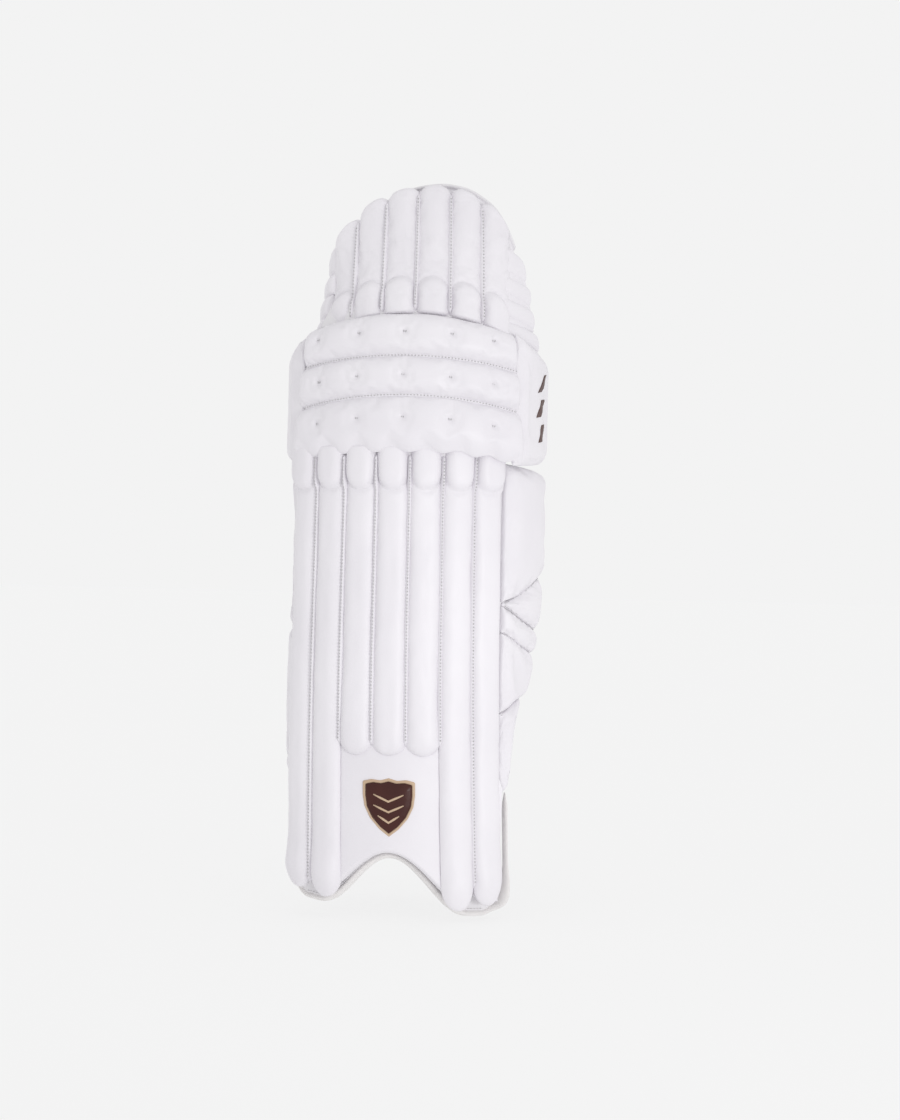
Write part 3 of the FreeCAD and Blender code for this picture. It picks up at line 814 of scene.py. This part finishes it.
def knee_roll(name, level, tack_z, tacks):
    """A horizontal bolster across the knee, drawn in where each tack goes through it."""
    t = np.linspace(0, 2 * np.pi, 72, endpoint=False)
    across, out = np.cos(t), np.sin(t)
    rise = crest(across, 3.0)
    left, right = knee_ends((KNEE_SEAMS[level] + KNEE_SEAMS[level + 1]) / 2)
    rings, held = [], []
    for share in steps((0, 0.08, 0.005), (0.08, 0.92, 0.0105), (0.92, 1.0, 0.005)):
        sewn = (out < 0.05) | (np.abs(across) > 0.95) | (min(share, 1 - share) < 0.012)
        line = left + (right - left) * share
        low, high = knee_edges(level, line), knee_edges(level + 1, line)
        cap = quarter(share * 26 + 0.01) * quarter((1 - share) * 26 + 0.01)
        z = (low + high) / 2 + (high - low) / 2 * across * cap**0.07
        lean = np.interp(z, (KNEE_SEAMS[0], KNEE_SEAMS[3]), (1.5, -1.5)) * (2 * share - 1)
        phi = line + lean
        r = KNEE_SEAM + np.where(out > 0, 0.0095 * rise, 0.0225 * out) * cap
        for tack in tacks:
            away = np.hypot(np.radians(phi - tack) * 0.17, z - tack_level(tack_z, line))
            pull = 0.0036 * dip(away, 0.0034) + 0.0018 * dip(away, 0.0115)
            r = r - pull * (out > 0)
            sewn = sewn | (away < 0.0045)
        rings.append(on_knee(phi, r, z))
        held.append(sewn)
    piece = loft(f"knee_{name}_roll", np.array(rings), WHITE, "knee")
    puff(piece, np.append(np.array(held, float).ravel(), [1, 1]))
    crumple(piece, 0.0009, 0.03, len(name) + 40)
    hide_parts(f"knee_roll_{name}")
    return piece


def tack_threads(tack_z, tacks):
    """The two small slanted stitches in the pit of each tack."""
    for tack in tacks:
        height = tack_level(tack_z, tack)
        lift = on_knee(tack, 0.18, height) - on_knee(tack, 0.17, height)
        for side in (-1, 1):
            ends = []
            for along in (-1, 1):
                phi = tack + side * 0.36 + along * 0.13
                ends.append(on_knee(phi, 0.1672, height + along * 0.0014 * side))
            stitches("knee", ends, lift, length=0.0026, gap=0.0, radius=0.0005)


def build_knee_rolls():
    """The three knee rolls with their tacks, and the sewn tapes between them. Returns the rolls."""
    pieces = []
    for level, (name, tack_z, tacks) in enumerate(TACK_ROWS):
        pieces.append(knee_roll(name, level, tack_z, tacks))
        tack_threads(tack_z, tacks)
    for level in (1, 2):
        phi = np.linspace(-38.0, 40.0, 90)
        points, out, up = edge_frames(on_knee, phi, KNEE_SEAM + 0.0004, knee_edges(level, phi))
        tape_round(f"knee_seam_{level}", points, out, up, "knee", (0.0016, 0.0020), WHITE)
        line = on_knee(phi, KNEE_SEAM + 0.0020, knee_edges(level, phi))
        stitches("knee", line, line * [1, 1, 0] - [KNEE_X, KNEE_Y, 0], 0.0018, 0.0014, 0.00055)
    return pieces


def build_knee_layers():
    """The knee section's backing and its quilted lining."""
    board = layer(
        "knee_board_cover", on_knee, (-45.0, 45.0), flat_edge(0.4485), flat_edge(0.5575), KNEE_BOARD,
        0.0040, 0.0035, 0.006, EDGE, "knee", (80, 60),
    )
    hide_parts("knee_board")

    relief = quilting(0.0365, 0.4485, 0.003, (-24.0, 0.0, 24.0), 0.0025, 1.2)
    lining = layer(
        "knee_lining_pad", on_knee, (-42.5, 42.5), flat_edge(0.4475), flat_edge(0.5575), KNEE_INSIDE,
        0.0038, 0.0090, 0.011, LINING, "knee", (110, 90), relief,
    )
    crumple(lining, 0.0009, 0.02, 7)
    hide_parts("knee_lining")


def level_bolster(node, z):
    """A short soft bolster that runs round the inside of the knee section at one height."""
    end, cap_span, r, thick, tall = 20.5, 5.0, 0.1135, 0.0045, 0.0088
    inner = end - cap_span
    rings = []
    for phi in steps((-end, -inner, 0.5), (-inner, inner, 1.6), (inner, end, 0.5)):
        cap = quarter((phi + end) / cap_span + 0.01) * quarter((end - phi) / cap_span + 0.01)
        rings.append(on_knee(phi, r + thick * np.cos(AROUND) * cap, z + tall * np.sin(AROUND) * cap))
    piece = loft(f"{node}_pad", np.array(rings), LINING, "knee")
    crumple(piece, 0.0008, 0.015, 11)
    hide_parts(node)


def upright_bolster(node, phi):
    """A long soft bolster down the inside of the shin section at one bearing."""
    zs = steps((0.108, 0.128, 0.0015), (0.128, 0.390, 0.005), (0.390, 0.410, 0.0015))
    rings = roll_section(on_shin, phi, 0.0965, zs, 0.0125, 0.0085, 0.0085, (0.014, 0.014))
    piece = loft(f"{node}_pad", rings, LINING, "shin")
    crumple(piece, 0.001, 0.022, phi)
    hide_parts(node)


# ---------------------------------------------------------------- top hat

HAT_BEARINGS = (-60.0, -46.2, -38.5, -23.1, -7.7, 7.7, 23.1, 38.5, 46.2, 60.0)
HAT_DOME = (0.600, 0.6440, 0.6625, 0.6845, 0.6945, 0.6985, 0.6950, 0.6800, 0.6560, 0.612)
HAT_LOW, HAT_HIGH = 0.5755, 0.7000


def dome(phi):
    """Height of the hat's upper outline at a bearing, lower on the inner side."""
    shifts = np.linspace(-5, 5, 9)
    return sum(np.interp(phi + shift, HAT_BEARINGS, HAT_DOME) for shift in shifts) / len(shifts)


def hat_foot(phi):
    """Height of the fingers' lower ends at a bearing, along the knee's curved top edge."""
    return HAT_LOW - 0.0025 - 0.0145 * (phi / 40) ** 2


def hat_warp(centre):
    """Fits a roll that runs from HAT_LOW to HAT_HIGH between the knee's curved top edge and the dome."""
    def warp(phi, z):
        low = hat_foot(phi)
        away = np.abs(phi - centre) / (HAT_PITCH / 2)
        high = dome(phi) + 0.001 - 0.0030 * away**2.4
        return low + (z - HAT_LOW) / (HAT_HIGH - HAT_LOW) * (high - low)
    return warp


def hat_front(bump):
    """Height of a finger over its seams: a domed knuckle at its root, then a hollow, then its tip."""
    def front(across, z):
        inside = bump - 0.017 * (1 - np.sqrt(1 - 0.94 * across**2)) - z
        hollow = 0.0050 * (1 - 0.35 * dip(inside, 0.0034)) - 0.0010 * dip(inside + 0.016, 0.016)
        tip = 0.0042 * np.clip(1 - (HAT_HIGH - z) / 0.050, 0, 1) ** 1.3
        return (hollow + tip) * crest(across, 2.8) + 0.0044 * quarter(inside / 0.015) * crest(across, 4)
    return front


def build_hat_rolls():
    """The six fingers of the hat and the sewn tapes between them."""
    for index in range(1, 7):
        centre = (index - 3.5) * HAT_PITCH
        stretch = (HAT_HIGH - HAT_LOW) / (float(dome(centre)) - hat_foot(centre))
        bump = HAT_LOW + 0.0370 * stretch
        zs = steps((HAT_LOW, 0.628, 0.0013), (0.628, 0.685, 0.0036), (0.685, HAT_HIGH, 0.0009))
        rings = roll_section(
            on_hat, centre, HAT_SEAM, zs, 0.0160, hat_front(bump), 0.0150, (0.004, 0.0065), hat_warp(centre),
            0.55,
        )
        piece = loft(f"hat_roll_{index}_cover", rings, WHITE, "hat")
        sewn = (np.sin(AROUND) < 0.05) | (np.abs(np.cos(AROUND)) > 0.94)
        held = np.tile(sewn.astype(float), (len(zs), 1))
        held[:3] = held[-2:] = 1
        held = np.maximum(held, 0.5 * (np.abs(zs - bump)[:, None] < 0.005))
        puff(piece, np.append(held.ravel(), [1, 1]), cap=0.0018)
        crumple(piece, 0.0010, 0.022, index + 20, (1, 1, 2.0))
        crumple(piece, 0.0004, 0.008, index + 30)
        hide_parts(f"hat_roll_{index}")
    for k in range(5):
        phi = (k - 2) * HAT_PITCH
        low = hat_foot(phi) + 0.003
        seam_welt(
            on_hat, phi, HAT_SEAM, low, float(dome(phi)) - 0.006, f"hat_seam_{k + 1}", "hat",
            lambda z, low=low: 0.0030 * quarter((low + 0.024 - z) / 0.012),
        )


def crown(extra):
    """The hat's domed upper edge at a bearing: extra above the rolls, falling at the sides."""
    def high(phi):
        return dome(phi - 4.0) + extra - 0.004 * (np.abs(phi) / 50) ** 4
    return high


def on_rim(phi, r, z):
    """The hat's backing, which turns outwards near its upper outer edge."""
    return on_hat(phi, r + 0.0100 * np.clip((phi - 8) / 40, 0, 1) * np.clip((z - 0.590) / 0.04, 0, 1), z)


def build_hat_layers():
    """The hat's backing with its bound rim, and its quilted lining."""
    board = layer(
        "hat_board_cover", on_rim, (-53.0, 54.0), flat_edge(0.5775), crown(0.0045), HAT_BOARD, 0.0075,
        0.0035, 0.009, WHITE, "hat", (100, 70),
    )
    crumple(board, 0.0006, 0.02, 13)
    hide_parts("hat_board")

    relief = quilting(0.042, 0.5775, 0.003, (-22.0, 0.0, 22.0), 0.0025, 1.4)
    lining = layer(
        "hat_lining_pad", on_hat, (-48.0, 48.0), flat_edge(0.5790), crown(-0.006), HAT_INSIDE, 0.0035,
        0.0070, 0.010, LINING, "hat", (110, 90), relief,
    )
    crumple(lining, 0.0008, 0.02, 17)
    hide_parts("hat_lining")
    phi = np.linspace(-52.0, 53.0, 150)
    points, out, up = edge_frames(on_rim, phi, 0.0995, crown(0.0042)(phi))
    tape_round("hat_binding", points, out, up, "hat", (0.0068, 0.0026), EDGE)


# ---------------------------------------------------------------- wings and side pads


def wing_place(side, root, flare, curl, length, lean=False):
    """Points of a side pad: back along it, outwards from it, and up. It curls in towards the leg."""
    def place(back, out, up):
        back, out, up = alike(back, out, up)
        middle = np.radians(flare + curl / 2 - curl * back / length / 2)
        there = np.radians(flare + curl / 2 - curl * back / length)
        x = root[0] + side * (back * np.sin(middle) + out * np.cos(there))
        y = root[1] + back * np.cos(middle) - out * np.sin(there)
        return leaned(x, y, up) if lean else np.stack([x, y, up], -1)
    return place


def bowed(a, b, bow, count):
    """Points from a to b along an arc that leaves the chord by bow at its middle, to the right."""
    t = eased(count, 0.8)[:, None]
    a, b = np.array(a), np.array(b)
    chord = b - a
    normal = np.array([chord[1], -chord[0]]) / max(np.linalg.norm(chord), 1e-9)
    return a + chord * t + normal * bow * 4 * t * (1 - t)


def patch_grid(corners, bows, grid):
    """A grid of points blended between four edges. corners run round from the lower root corner."""
    n, m = grid
    low, right = bowed(corners[0], corners[1], bows[0], n), bowed(corners[1], corners[2], bows[1], m)
    high, left = bowed(corners[3], corners[2], -bows[2], n), bowed(corners[0], corners[3], -bows[3], m)
    u, v = eased(n, 0.8)[:, None, None], eased(m, 0.8)[None, :, None]
    edges = (1 - v) * low[:, None] + v * high[:, None] + (1 - u) * left[None] + u * right[None]
    c = [np.array(p) for p in corners]
    return edges - ((1 - u) * (1 - v) * c[0] + u * (1 - v) * c[1] + u * v * c[2] + (1 - u) * v * c[3])


def rim_of(grid, edge):
    """How full a padded patch is at each grid point: 0 at its border and 1 at edge from it."""
    across = np.linalg.norm(np.diff(grid, axis=0), axis=2)
    along = np.linalg.norm(np.diff(grid, axis=1), axis=2)
    run = np.concatenate([np.zeros((1, grid.shape[1])), np.cumsum(across, 0)])
    climb = np.concatenate([np.zeros((grid.shape[0], 1)), np.cumsum(along, 1)], 1)
    side, end = np.minimum(run, run[-1] - run), np.minimum(climb, climb[:, -1:] - climb)
    return quarter(side / edge) * quarter(end / edge)


def pillow(name, place, corners, bows, heights, edge, material, body, grid, centre=0.0, slack=0.0):
    """A stitched pad on a wing: heights are how far it swells outwards and towards the leg. One with
    slack in its cover is puffed up by simulation."""
    flat = patch_grid(corners, bows, grid)
    rim = rim_of(flat, edge)
    back, up = flat[..., 0], flat[..., 1]
    front = place(back, centre + heights[0] * rim, up)
    rear = place(back, centre - heights[1] * rim, up)
    piece = shell(name, front, rear, material, body)
    if slack:
        held = np.zeros(grid)
        held[[0, 1, -2, -1]] = held[:, [0, 1, -2, -1]] = 1
        puff(piece, np.append(held.ravel(), np.ones(len(piece.data.vertices) - held.size)), slack=slack)
    return piece


def panel_stitches(group, place, corners, bows):
    """Stitches just inside the lower and the upper edge of a pad, on its outer face."""
    height, inset = 0.0022, 0.0016
    middle = np.mean([np.array(c) for c in corners], axis=0)
    for number in (0, 2):
        line = bowed(corners[number], corners[(number + 1) % 4], bows[number], 60)
        line = line + unit(middle - line) * inset
        points = place(line[:, 0], height, line[:, 1])
        stitches(group, points, place(line[:, 0], height + 0.01, line[:, 1]) - points)


WING_SLACK, LINING_BEHIND = 0.014, -0.0089
CALF = wing_place(1, (0.1015, -0.002), 15.8, 18.0, 0.106)
INNER = wing_place(-1, (-0.0985, -0.002), 3.0, 12.0, 0.071)
KNEE_OUT = wing_place(1, (0.1115, -0.0240), 9.5, 32.0, 0.106)
KNEE_IN = wing_place(-1, (-0.0925, -0.0265), 8.0, 46.0, 0.090)

# Each panel: its corners as (back, up) round from the lower root corner, how far each edge bows
# outwards, and the size of its grid.
OUTER_PANELS = {
    "outer_wing_upper": (
        [(0.0, 0.3035), (0.103, 0.3330), (0.103, 0.4330), (0.0, 0.4380)], (0.002, 0.004, 0.001, 0), 40),
    "outer_wing_wedge": (
        [(0.001, 0.3000), (0.083, 0.2745), (0.098, 0.3290), (0.001, 0.3025)], (0.0, 0.004, 0.0, 0), 34),
    "outer_wing_band": (
        [(0.0, 0.2745), (0.071, 0.2520), (0.083, 0.2735), (0.0, 0.2995)], (0.001, 0.004, 0.0, 0), 30),
    "outer_wing_lower": (
        [(0.0, 0.1960), (0.047, 0.2140), (0.072, 0.2515), (0.0, 0.2740)], (0.001, 0.006, 0.0, 0), 34),
    "outer_wing_tail": (
        [(0.0, 0.1180), (0.009, 0.1240), (0.042, 0.2110), (0.0, 0.1950)], (0.002, 0.001, 0.0, 0), 34),
}
INNER_PANELS = {
    "inner_wing_upper": (
        [(0.0, 0.2755), (0.071, 0.2755), (0.067, 0.4180), (0.0, 0.4300)], (0, 0.003, 0.002, 0), 40),
    "inner_wing_lower": (
        [(0.0, 0.1310), (0.018, 0.1350), (0.071, 0.2750), (0.0, 0.2750)], (0.002, -0.002, 0, 0), 34),
}


def wing_lining(node, place, corners, bows, body, grid, crease, seed):
    """The thin knitted lining on the leg side of a wing."""
    piece = pillow(
        f"{node}_pad", place, corners, bows, (0.0020, 0.0022), 0.010, LINING, body, grid,
        LINING_BEHIND,
    )
    crumple(piece, crease, 0.018, seed)
    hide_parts(node)


def build_calf_wings():
    """The sewn panels of both calf wings and their linings. Returns the panels."""
    pieces = []
    for panels, place, body in ((OUTER_PANELS, CALF, "outer_wing"), (INNER_PANELS, INNER, "inner_wing")):
        for name, (corners, bows, count) in panels.items():
            piece = pillow(
                f"{name}_pad", place, corners, bows, (0.0078, 0.0062), 0.011, WHITE, body,
                (count, count), slack=WING_SLACK,
            )
            pieces.append(piece)
            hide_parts(name)
            panel_stitches(body, place, corners, bows)
    linings = (
        ("outer_wing_lining", CALF, [(0.015, 0.162), (0.021, 0.164), (0.095, 0.425), (0.017, 0.428)],
         (0, 0.013, 0.001, 0), "outer_wing"),
        ("inner_wing_lining", INNER, [(0.013, 0.160), (0.018, 0.162), (0.060, 0.412), (0.015, 0.424)],
         (0, 0.014, 0, 0), "inner_wing"),
    )
    for name, place, corners, bows, body in linings:
        wing_lining(name, place, corners, bows, body, (50, 90), 0.0007, 23)
    return pieces


def build_knee_wings():
    """The pads on both sides of the knee section and their linings. Returns the pads, the outer first."""
    pieces = []
    for name, place, long, top, root_top in (
        ("knee_side_outer", KNEE_OUT, 0.104, 0.5480, 0.5610),
        ("knee_side_inner", KNEE_IN, 0.086, 0.5360, 0.5560),
    ):
        corners = [(0.0, 0.4350), (long, 0.4440), (long - 0.003, top), (0.0, root_top)]
        piece = pillow(
            f"{name}_pad", place, corners, (0.001, 0.004, -0.004, 0), (0.0074, 0.0064), 0.011, WHITE,
            "knee", (52, 52), slack=WING_SLACK,
        )
        pieces.append(piece)
        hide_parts(name)
        corners = [(0.036, 0.446), (long - 0.006, 0.456), (long - 0.008, 0.535), (0.036, 0.548)]
        wing_lining(f"{name}_lining", place, corners, (0, 0.003, 0.002, 0), "knee", (50, 50), 0.0006, 29)
    return pieces


def build_stripes(pad):
    """Three plain slanted bars printed on the outer knee pad, laid on its face as it really lies."""
    points = [vertex.co for vertex in pad.data.vertices]
    face = BVHTree.FromPolygons(points, [tuple(polygon.vertices) for polygon in pad.data.polygons])
    for number, (low, high) in enumerate(((0.4600, 0.4810), (0.4845, 0.5055), (0.5090, 0.5300)), start=1):
        corners = [(0.042, low), (0.055, low + 0.002), (0.072, high), (0.059, high - 0.002)]
        flat = patch_grid(corners, (0, 0, 0, 0), (24, 32))
        outside = KNEE_OUT(flat[..., 0], 0.03, flat[..., 1])
        inwards = unit(KNEE_OUT(flat[..., 0], 0.0, flat[..., 1]) - outside)
        rays = zip(outside.reshape(-1, 3), inwards.reshape(-1, 3))
        hits = np.array([face.ray_cast(Vector(start), Vector(way))[0] for start, way in rays])
        laid = hits.reshape(outside.shape) - inwards * 0.0003
        swell = inwards * 0.0005 * rim_of(flat, 0.0012)[..., None]
        shell(f"knee_bar_{number}", laid - swell, laid + swell, PRINT, "knee")


# Heights that part the side bands of the hat, and how far each band reaches back, from the lowest.
HAT_BANDS = (0.5570, 0.5765, 0.5985, 0.6200, 0.6500)
HAT_REACH = {"outer": (0.064, 0.047, 0.037, 0.028), "inner": (0.046, 0.040, 0.030, 0.016)}


def build_hat_sides():
    """The stacked bands on each side of the hat, the pad behind them and its lining."""
    for side, name, flare, root_x, splay in (
        (1, "outer", 26.0, 0.1000, 0.0), (-1, "inner", 9.0, -0.0640, 0.0035),
    ):
        group = []
        for number, (low, high) in enumerate(zip(HAT_BANDS, HAT_BANDS[1:]), start=1):
            long, after = HAT_REACH[name][number - 1], (*HAT_REACH[name][1:], 0.014)[number - 1]
            root = (root_x - splay * (4 - number), -0.014)
            place = wing_place(side, root, flare, 22.0, 0.050, lean=True)
            top = high - 0.0065 if number < 4 else high - 0.012
            corners = [(-0.009, low), (long, low - 0.0065), (after + 0.003, top), (-0.009, high)]
            group.append(pillow(
                f"hat_side_{name}_{number}_pad", place, corners, (0, 0.004, 0, 0), (0.0080, 0.0075), 0.0085,
                WHITE, "hat", (36, 22),
            ))
        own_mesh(group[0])
        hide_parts(f"hat_side_rolls_{name}")
        corners = [(-0.006, 0.570), (0.0490, 0.5695), (0.0165, 0.6375), (-0.006, 0.642)]
        backing = pillow(
            f"hat_side_backing_{name}", place, corners, (0, 0.001, 0, 0), (0.0055, 0.0050), 0.0035, WHITE,
            "hat", (40, 40),
        )
        corners = [(0.012, 0.562), (0.044, 0.560), (0.030, 0.636), (0.012, 0.640)]
        inner = pillow(
            f"hat_side_lining_{name}_pad", place, corners, (0, 0.003, 0, 0), (0.0020, 0.0020), 0.008, LINING,
            "hat", (30, 40), -0.0115,
        )
        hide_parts(f"hat_side_lining_{name}")


# ---------------------------------------------------------------- straps

# Each strap: its axis, radius, the bearing where it is sewn on, the bearings of its tab, its lower
# and upper edge, and the body that holds the tab. Bearings of straps are from +X, towards +Y.
STRAPS = {
    "ankle": ((0.0, 0.015), 0.092, 180.0, (0.0, 78.0), 0.058, 0.096, "shin"),
    "calf": ((0.0, 0.020), 0.110, 150.5, (10.0, 78.0), 0.292, 0.330, "outer_wing"),
    "knee": ((KNEE_X, 0.020), 0.112, 156.0, (10.0, 78.0), 0.478, 0.528, "knee"),
}


def strap_place(axis):
    """Points of a strap: bearing, radius and height about its own axis."""
    def place(phi, r, z):
        phi, r, z = alike(phi, r, z)
        angle = np.radians(phi)
        return np.stack([axis[0] + r * np.cos(angle), axis[1] + r * np.sin(angle), z], -1)
    return place


def ribbon(name, axis, r, span, low, high, thick, material, body, round_ends):
    """A flat strip bent round a vertical axis, with its ends rounded if asked."""
    radius = (high - low) * 0.45

    def inset(phi):
        cut = np.zeros_like(phi)
        for which, end in zip(round_ends, span):
            if which:
                cut = np.maximum(cut, radius * (1 - quarter(np.radians(np.abs(phi - end)) * r / radius)))
        return cut

    return layer(
        name, strap_place(axis), span, lambda phi: low + inset(phi), lambda phi: high - inset(phi), r,
        thick / 2, thick / 2, 0.0016, material, body, (150, 30),
    )


def strap_stitches(group, axis, r, span, low, high):
    """A row of stitches along both edges of a strap."""
    place, phi = strap_place(axis), np.linspace(span[0], span[1], 80)
    for z in (low + 0.0035, high - 0.0035):
        path = place(phi, r, z)
        stitches(group, path, place(phi, r + 0.01, z) - path, length=0.0026, gap=0.0016, radius=0.0004)


def build_straps():
    """Each band runs round behind the leg from the inner side and closes over a tab on the outer."""
    for name, (axis, r, end, tab, low, high, holder) in STRAPS.items():
        body = f"{name}_strap"
        band = ribbon(
            f"{name}_band", axis, r, (47.0, end), low, high, 0.0025, WEBBING, body, (True, False),
        )
        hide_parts(body)
        strap_stitches(body, axis, r + 0.00135, (51.0, end - 2), low, high)
        hooks = ribbon(
            f"{name}_hook_pad", axis, r - 0.00195, (49.5, 72.0), low + 0.004, high - 0.004, 0.0014, HOOKS,
            body, (True, False),
        )
        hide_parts(f"{name}_hook_tape")
        flap = ribbon(
            f"{name}_tab_band", axis, r - 0.00725, tab, low, high, 0.0025, WEBBING, holder,
            (False, True),
        )
        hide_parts(f"{name}_tab")
        strap_stitches(holder, axis, r - 0.0059, (tab[0] + 3, 43.0), low, high)
        loops = ribbon(
            f"{name}_loop_pad", axis, r - 0.0052, (44.0, 75.5), low + 0.004, high - 0.004, 0.0015, LOOPS,
            holder, (False, True),
        )
        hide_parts(f"{name}_loop_tape")


# ---------------------------------------------------------------- soft hinges between the sections


def hinge_band(name, near, far, count, thick, material=EDGE):
    """Thin padded leather from the line near to the line far, fixed in place and riding on no body.
    near and far are arrays of points; thick is how far it is padded across."""
    near, far = np.asarray(near), np.asarray(far)
    v = np.linspace(0, 1, count)[None, :, None]
    middle = near[:, None] * (1 - v) + far[:, None] * v
    normal = unit(np.cross(np.gradient(middle, axis=0), np.gradient(middle, axis=1)))
    n = len(near)
    u = np.minimum(np.arange(n), np.arange(n)[::-1]) / (n - 1) * 2
    rim = quarter(u / 0.04)[:, None] * quarter(np.minimum(v[0, :, 0], 1 - v[0, :, 0]) / 0.2)[None, :]
    swell = normal * thick * rim[..., None]
    obj = shell(name, middle + swell, middle - swell, material, None)
    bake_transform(obj)


def build_hinges():
    """The soft gussets between the sections, and between the shin and its two wings."""
    t = np.linspace(-1, 1, 60)
    hinge_band(
        "knee_hinge", on_shin(t * 41, 0.1455, 0.430), on_knee(t * 38, 0.1560, 0.466), 24, 0.0016,
    )
    hinge_band(
        "knee_hinge_lining", on_shin(t * 44, 0.1170, 0.424), on_knee(t * 42, 0.1255, 0.462), 24, 0.0016,
        LINING,
    )
    hinge_band(
        "hat_hinge", on_knee(t * 36, 0.1540, 0.560), on_hat(t * 45, 0.1190, 0.596), 24, 0.0016,
    )
    for side, name, low in ((1, "outer", 0.118), (-1, "inner", 0.136)):
        z = np.linspace(low, 0.426, 90)
        spot = np.ones_like(z)
        hinge_band(
            f"{name}_hinge", np.stack([side * 0.0880 * spot, -0.008 * spot, z], -1),
            np.stack([side * 0.1050 * spot, 0.0060 * spot, z], -1), 16, 0.0018,
        )


# ---------------------------------------------------------------- putting it together

build_shin_rolls()
build_shin_seams()
build_shin_layers()
build_binding()
build_instep()
build_badge()
knee_rolls = build_knee_rolls()
build_knee_layers()
level_bolster("knee_cup_lower", 0.464)
level_bolster("knee_cup_upper", 0.541)
upright_bolster("inner_bolster_left", -31.0)
upright_bolster("inner_bolster_right", 31.0)
build_hat_rolls()
build_hat_layers()
calf_pads = build_calf_wings()
knee_pads = build_knee_wings()
build_stripes(knee_pads[0])
build_hat_sides()
build_straps()
build_hinges()
build_threads(THREAD, {
    "shin": "shin", "binding": "shin", "knee": "knee", "hat": "hat", "outer_wing": "outer_wing",
    "inner_wing": "inner_wing", "ankle_strap": "ankle_strap", "calf_strap": "calf_strap",
    "knee_strap": "knee_strap",
})

# ---------------------------------------------------------------- floor, lights and camera

FLOOR_HALF, FLOOR_LEVEL = 40.0, -0.002
square = ((-1, -1), (1, -1), (1, 1), (-1, 1))
floor_corners = [(FLOOR_HALF * x, FLOOR_HALF * y, FLOOR_LEVEL) for x, y in square]
floor = add_mesh("studio_floor", floor_corners, [(0, 1, 2, 3)], studio_floor("studio_floor"))
floor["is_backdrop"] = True

world = bpy.data.worlds.new("studio")
world.use_nodes = True
world.node_tree.nodes["Background"].inputs["Color"].default_value = (0.896, 0.896, 0.896, 1)
world.node_tree.nodes["Background"].inputs["Strength"].default_value = 1.0
bpy.context.scene.world = world
bpy.context.scene.view_settings.view_transform = "Standard"


def area_light(name, place, target, size, watts, spread):
    """A square lamp at place that shines at target. spread is its beam's width in degrees."""
    data = bpy.data.lights.new(name, "AREA")
    data.size = size
    data.energy = watts
    data.spread = math.radians(spread)
    lamp = bpy.data.objects.new(name, data)
    lamp.location = place
    lamp.rotation_euler = (Vector(target) - Vector(place)).to_track_quat("-Z", "Y").to_euler()
    lamp.visible_camera = False
    bpy.context.scene.collection.objects.link(lamp)


area_light("key", (1.0, -1.30, 0.16), (0, 0, 0.27), 0.4, 0.9, 62)

AZIMUTH, ELEVATION, ROLL, DISTANCE = math.radians(7.5), math.radians(-1.1), math.radians(1.3), 1.9
TARGET = Vector((0, 0, 0.36))
toward = Vector((
    math.sin(AZIMUTH) * math.cos(ELEVATION), -math.cos(AZIMUTH) * math.cos(ELEVATION), math.sin(ELEVATION),
))
right = Vector((0, 0, 1)).cross(toward).normalized()
upward = toward.cross(right)
turned_right = right * math.cos(ROLL) + upward * math.sin(ROLL)
turned_up = upward * math.cos(ROLL) - right * math.sin(ROLL)
lens = bpy.data.cameras.new("main")
lens.lens, lens.sensor_width = 62.4, 36.0
lens.shift_x, lens.shift_y = 0.0455, -0.016
camera = bpy.data.objects.new("main", lens)
turn = Matrix((turned_right, turned_up, toward)).transposed()
camera.matrix_world = Matrix.Translation(TARGET + toward * DISTANCE) @ turn.to_4x4()
bpy.context.scene.collection.objects.link(camera)
bpy.context.scene.camera = camera

boxes = {"cad": cad_box, "visual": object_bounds()}
{key: [[float(v) for v in corner] for corner in value] for key, value in boxes.items()}
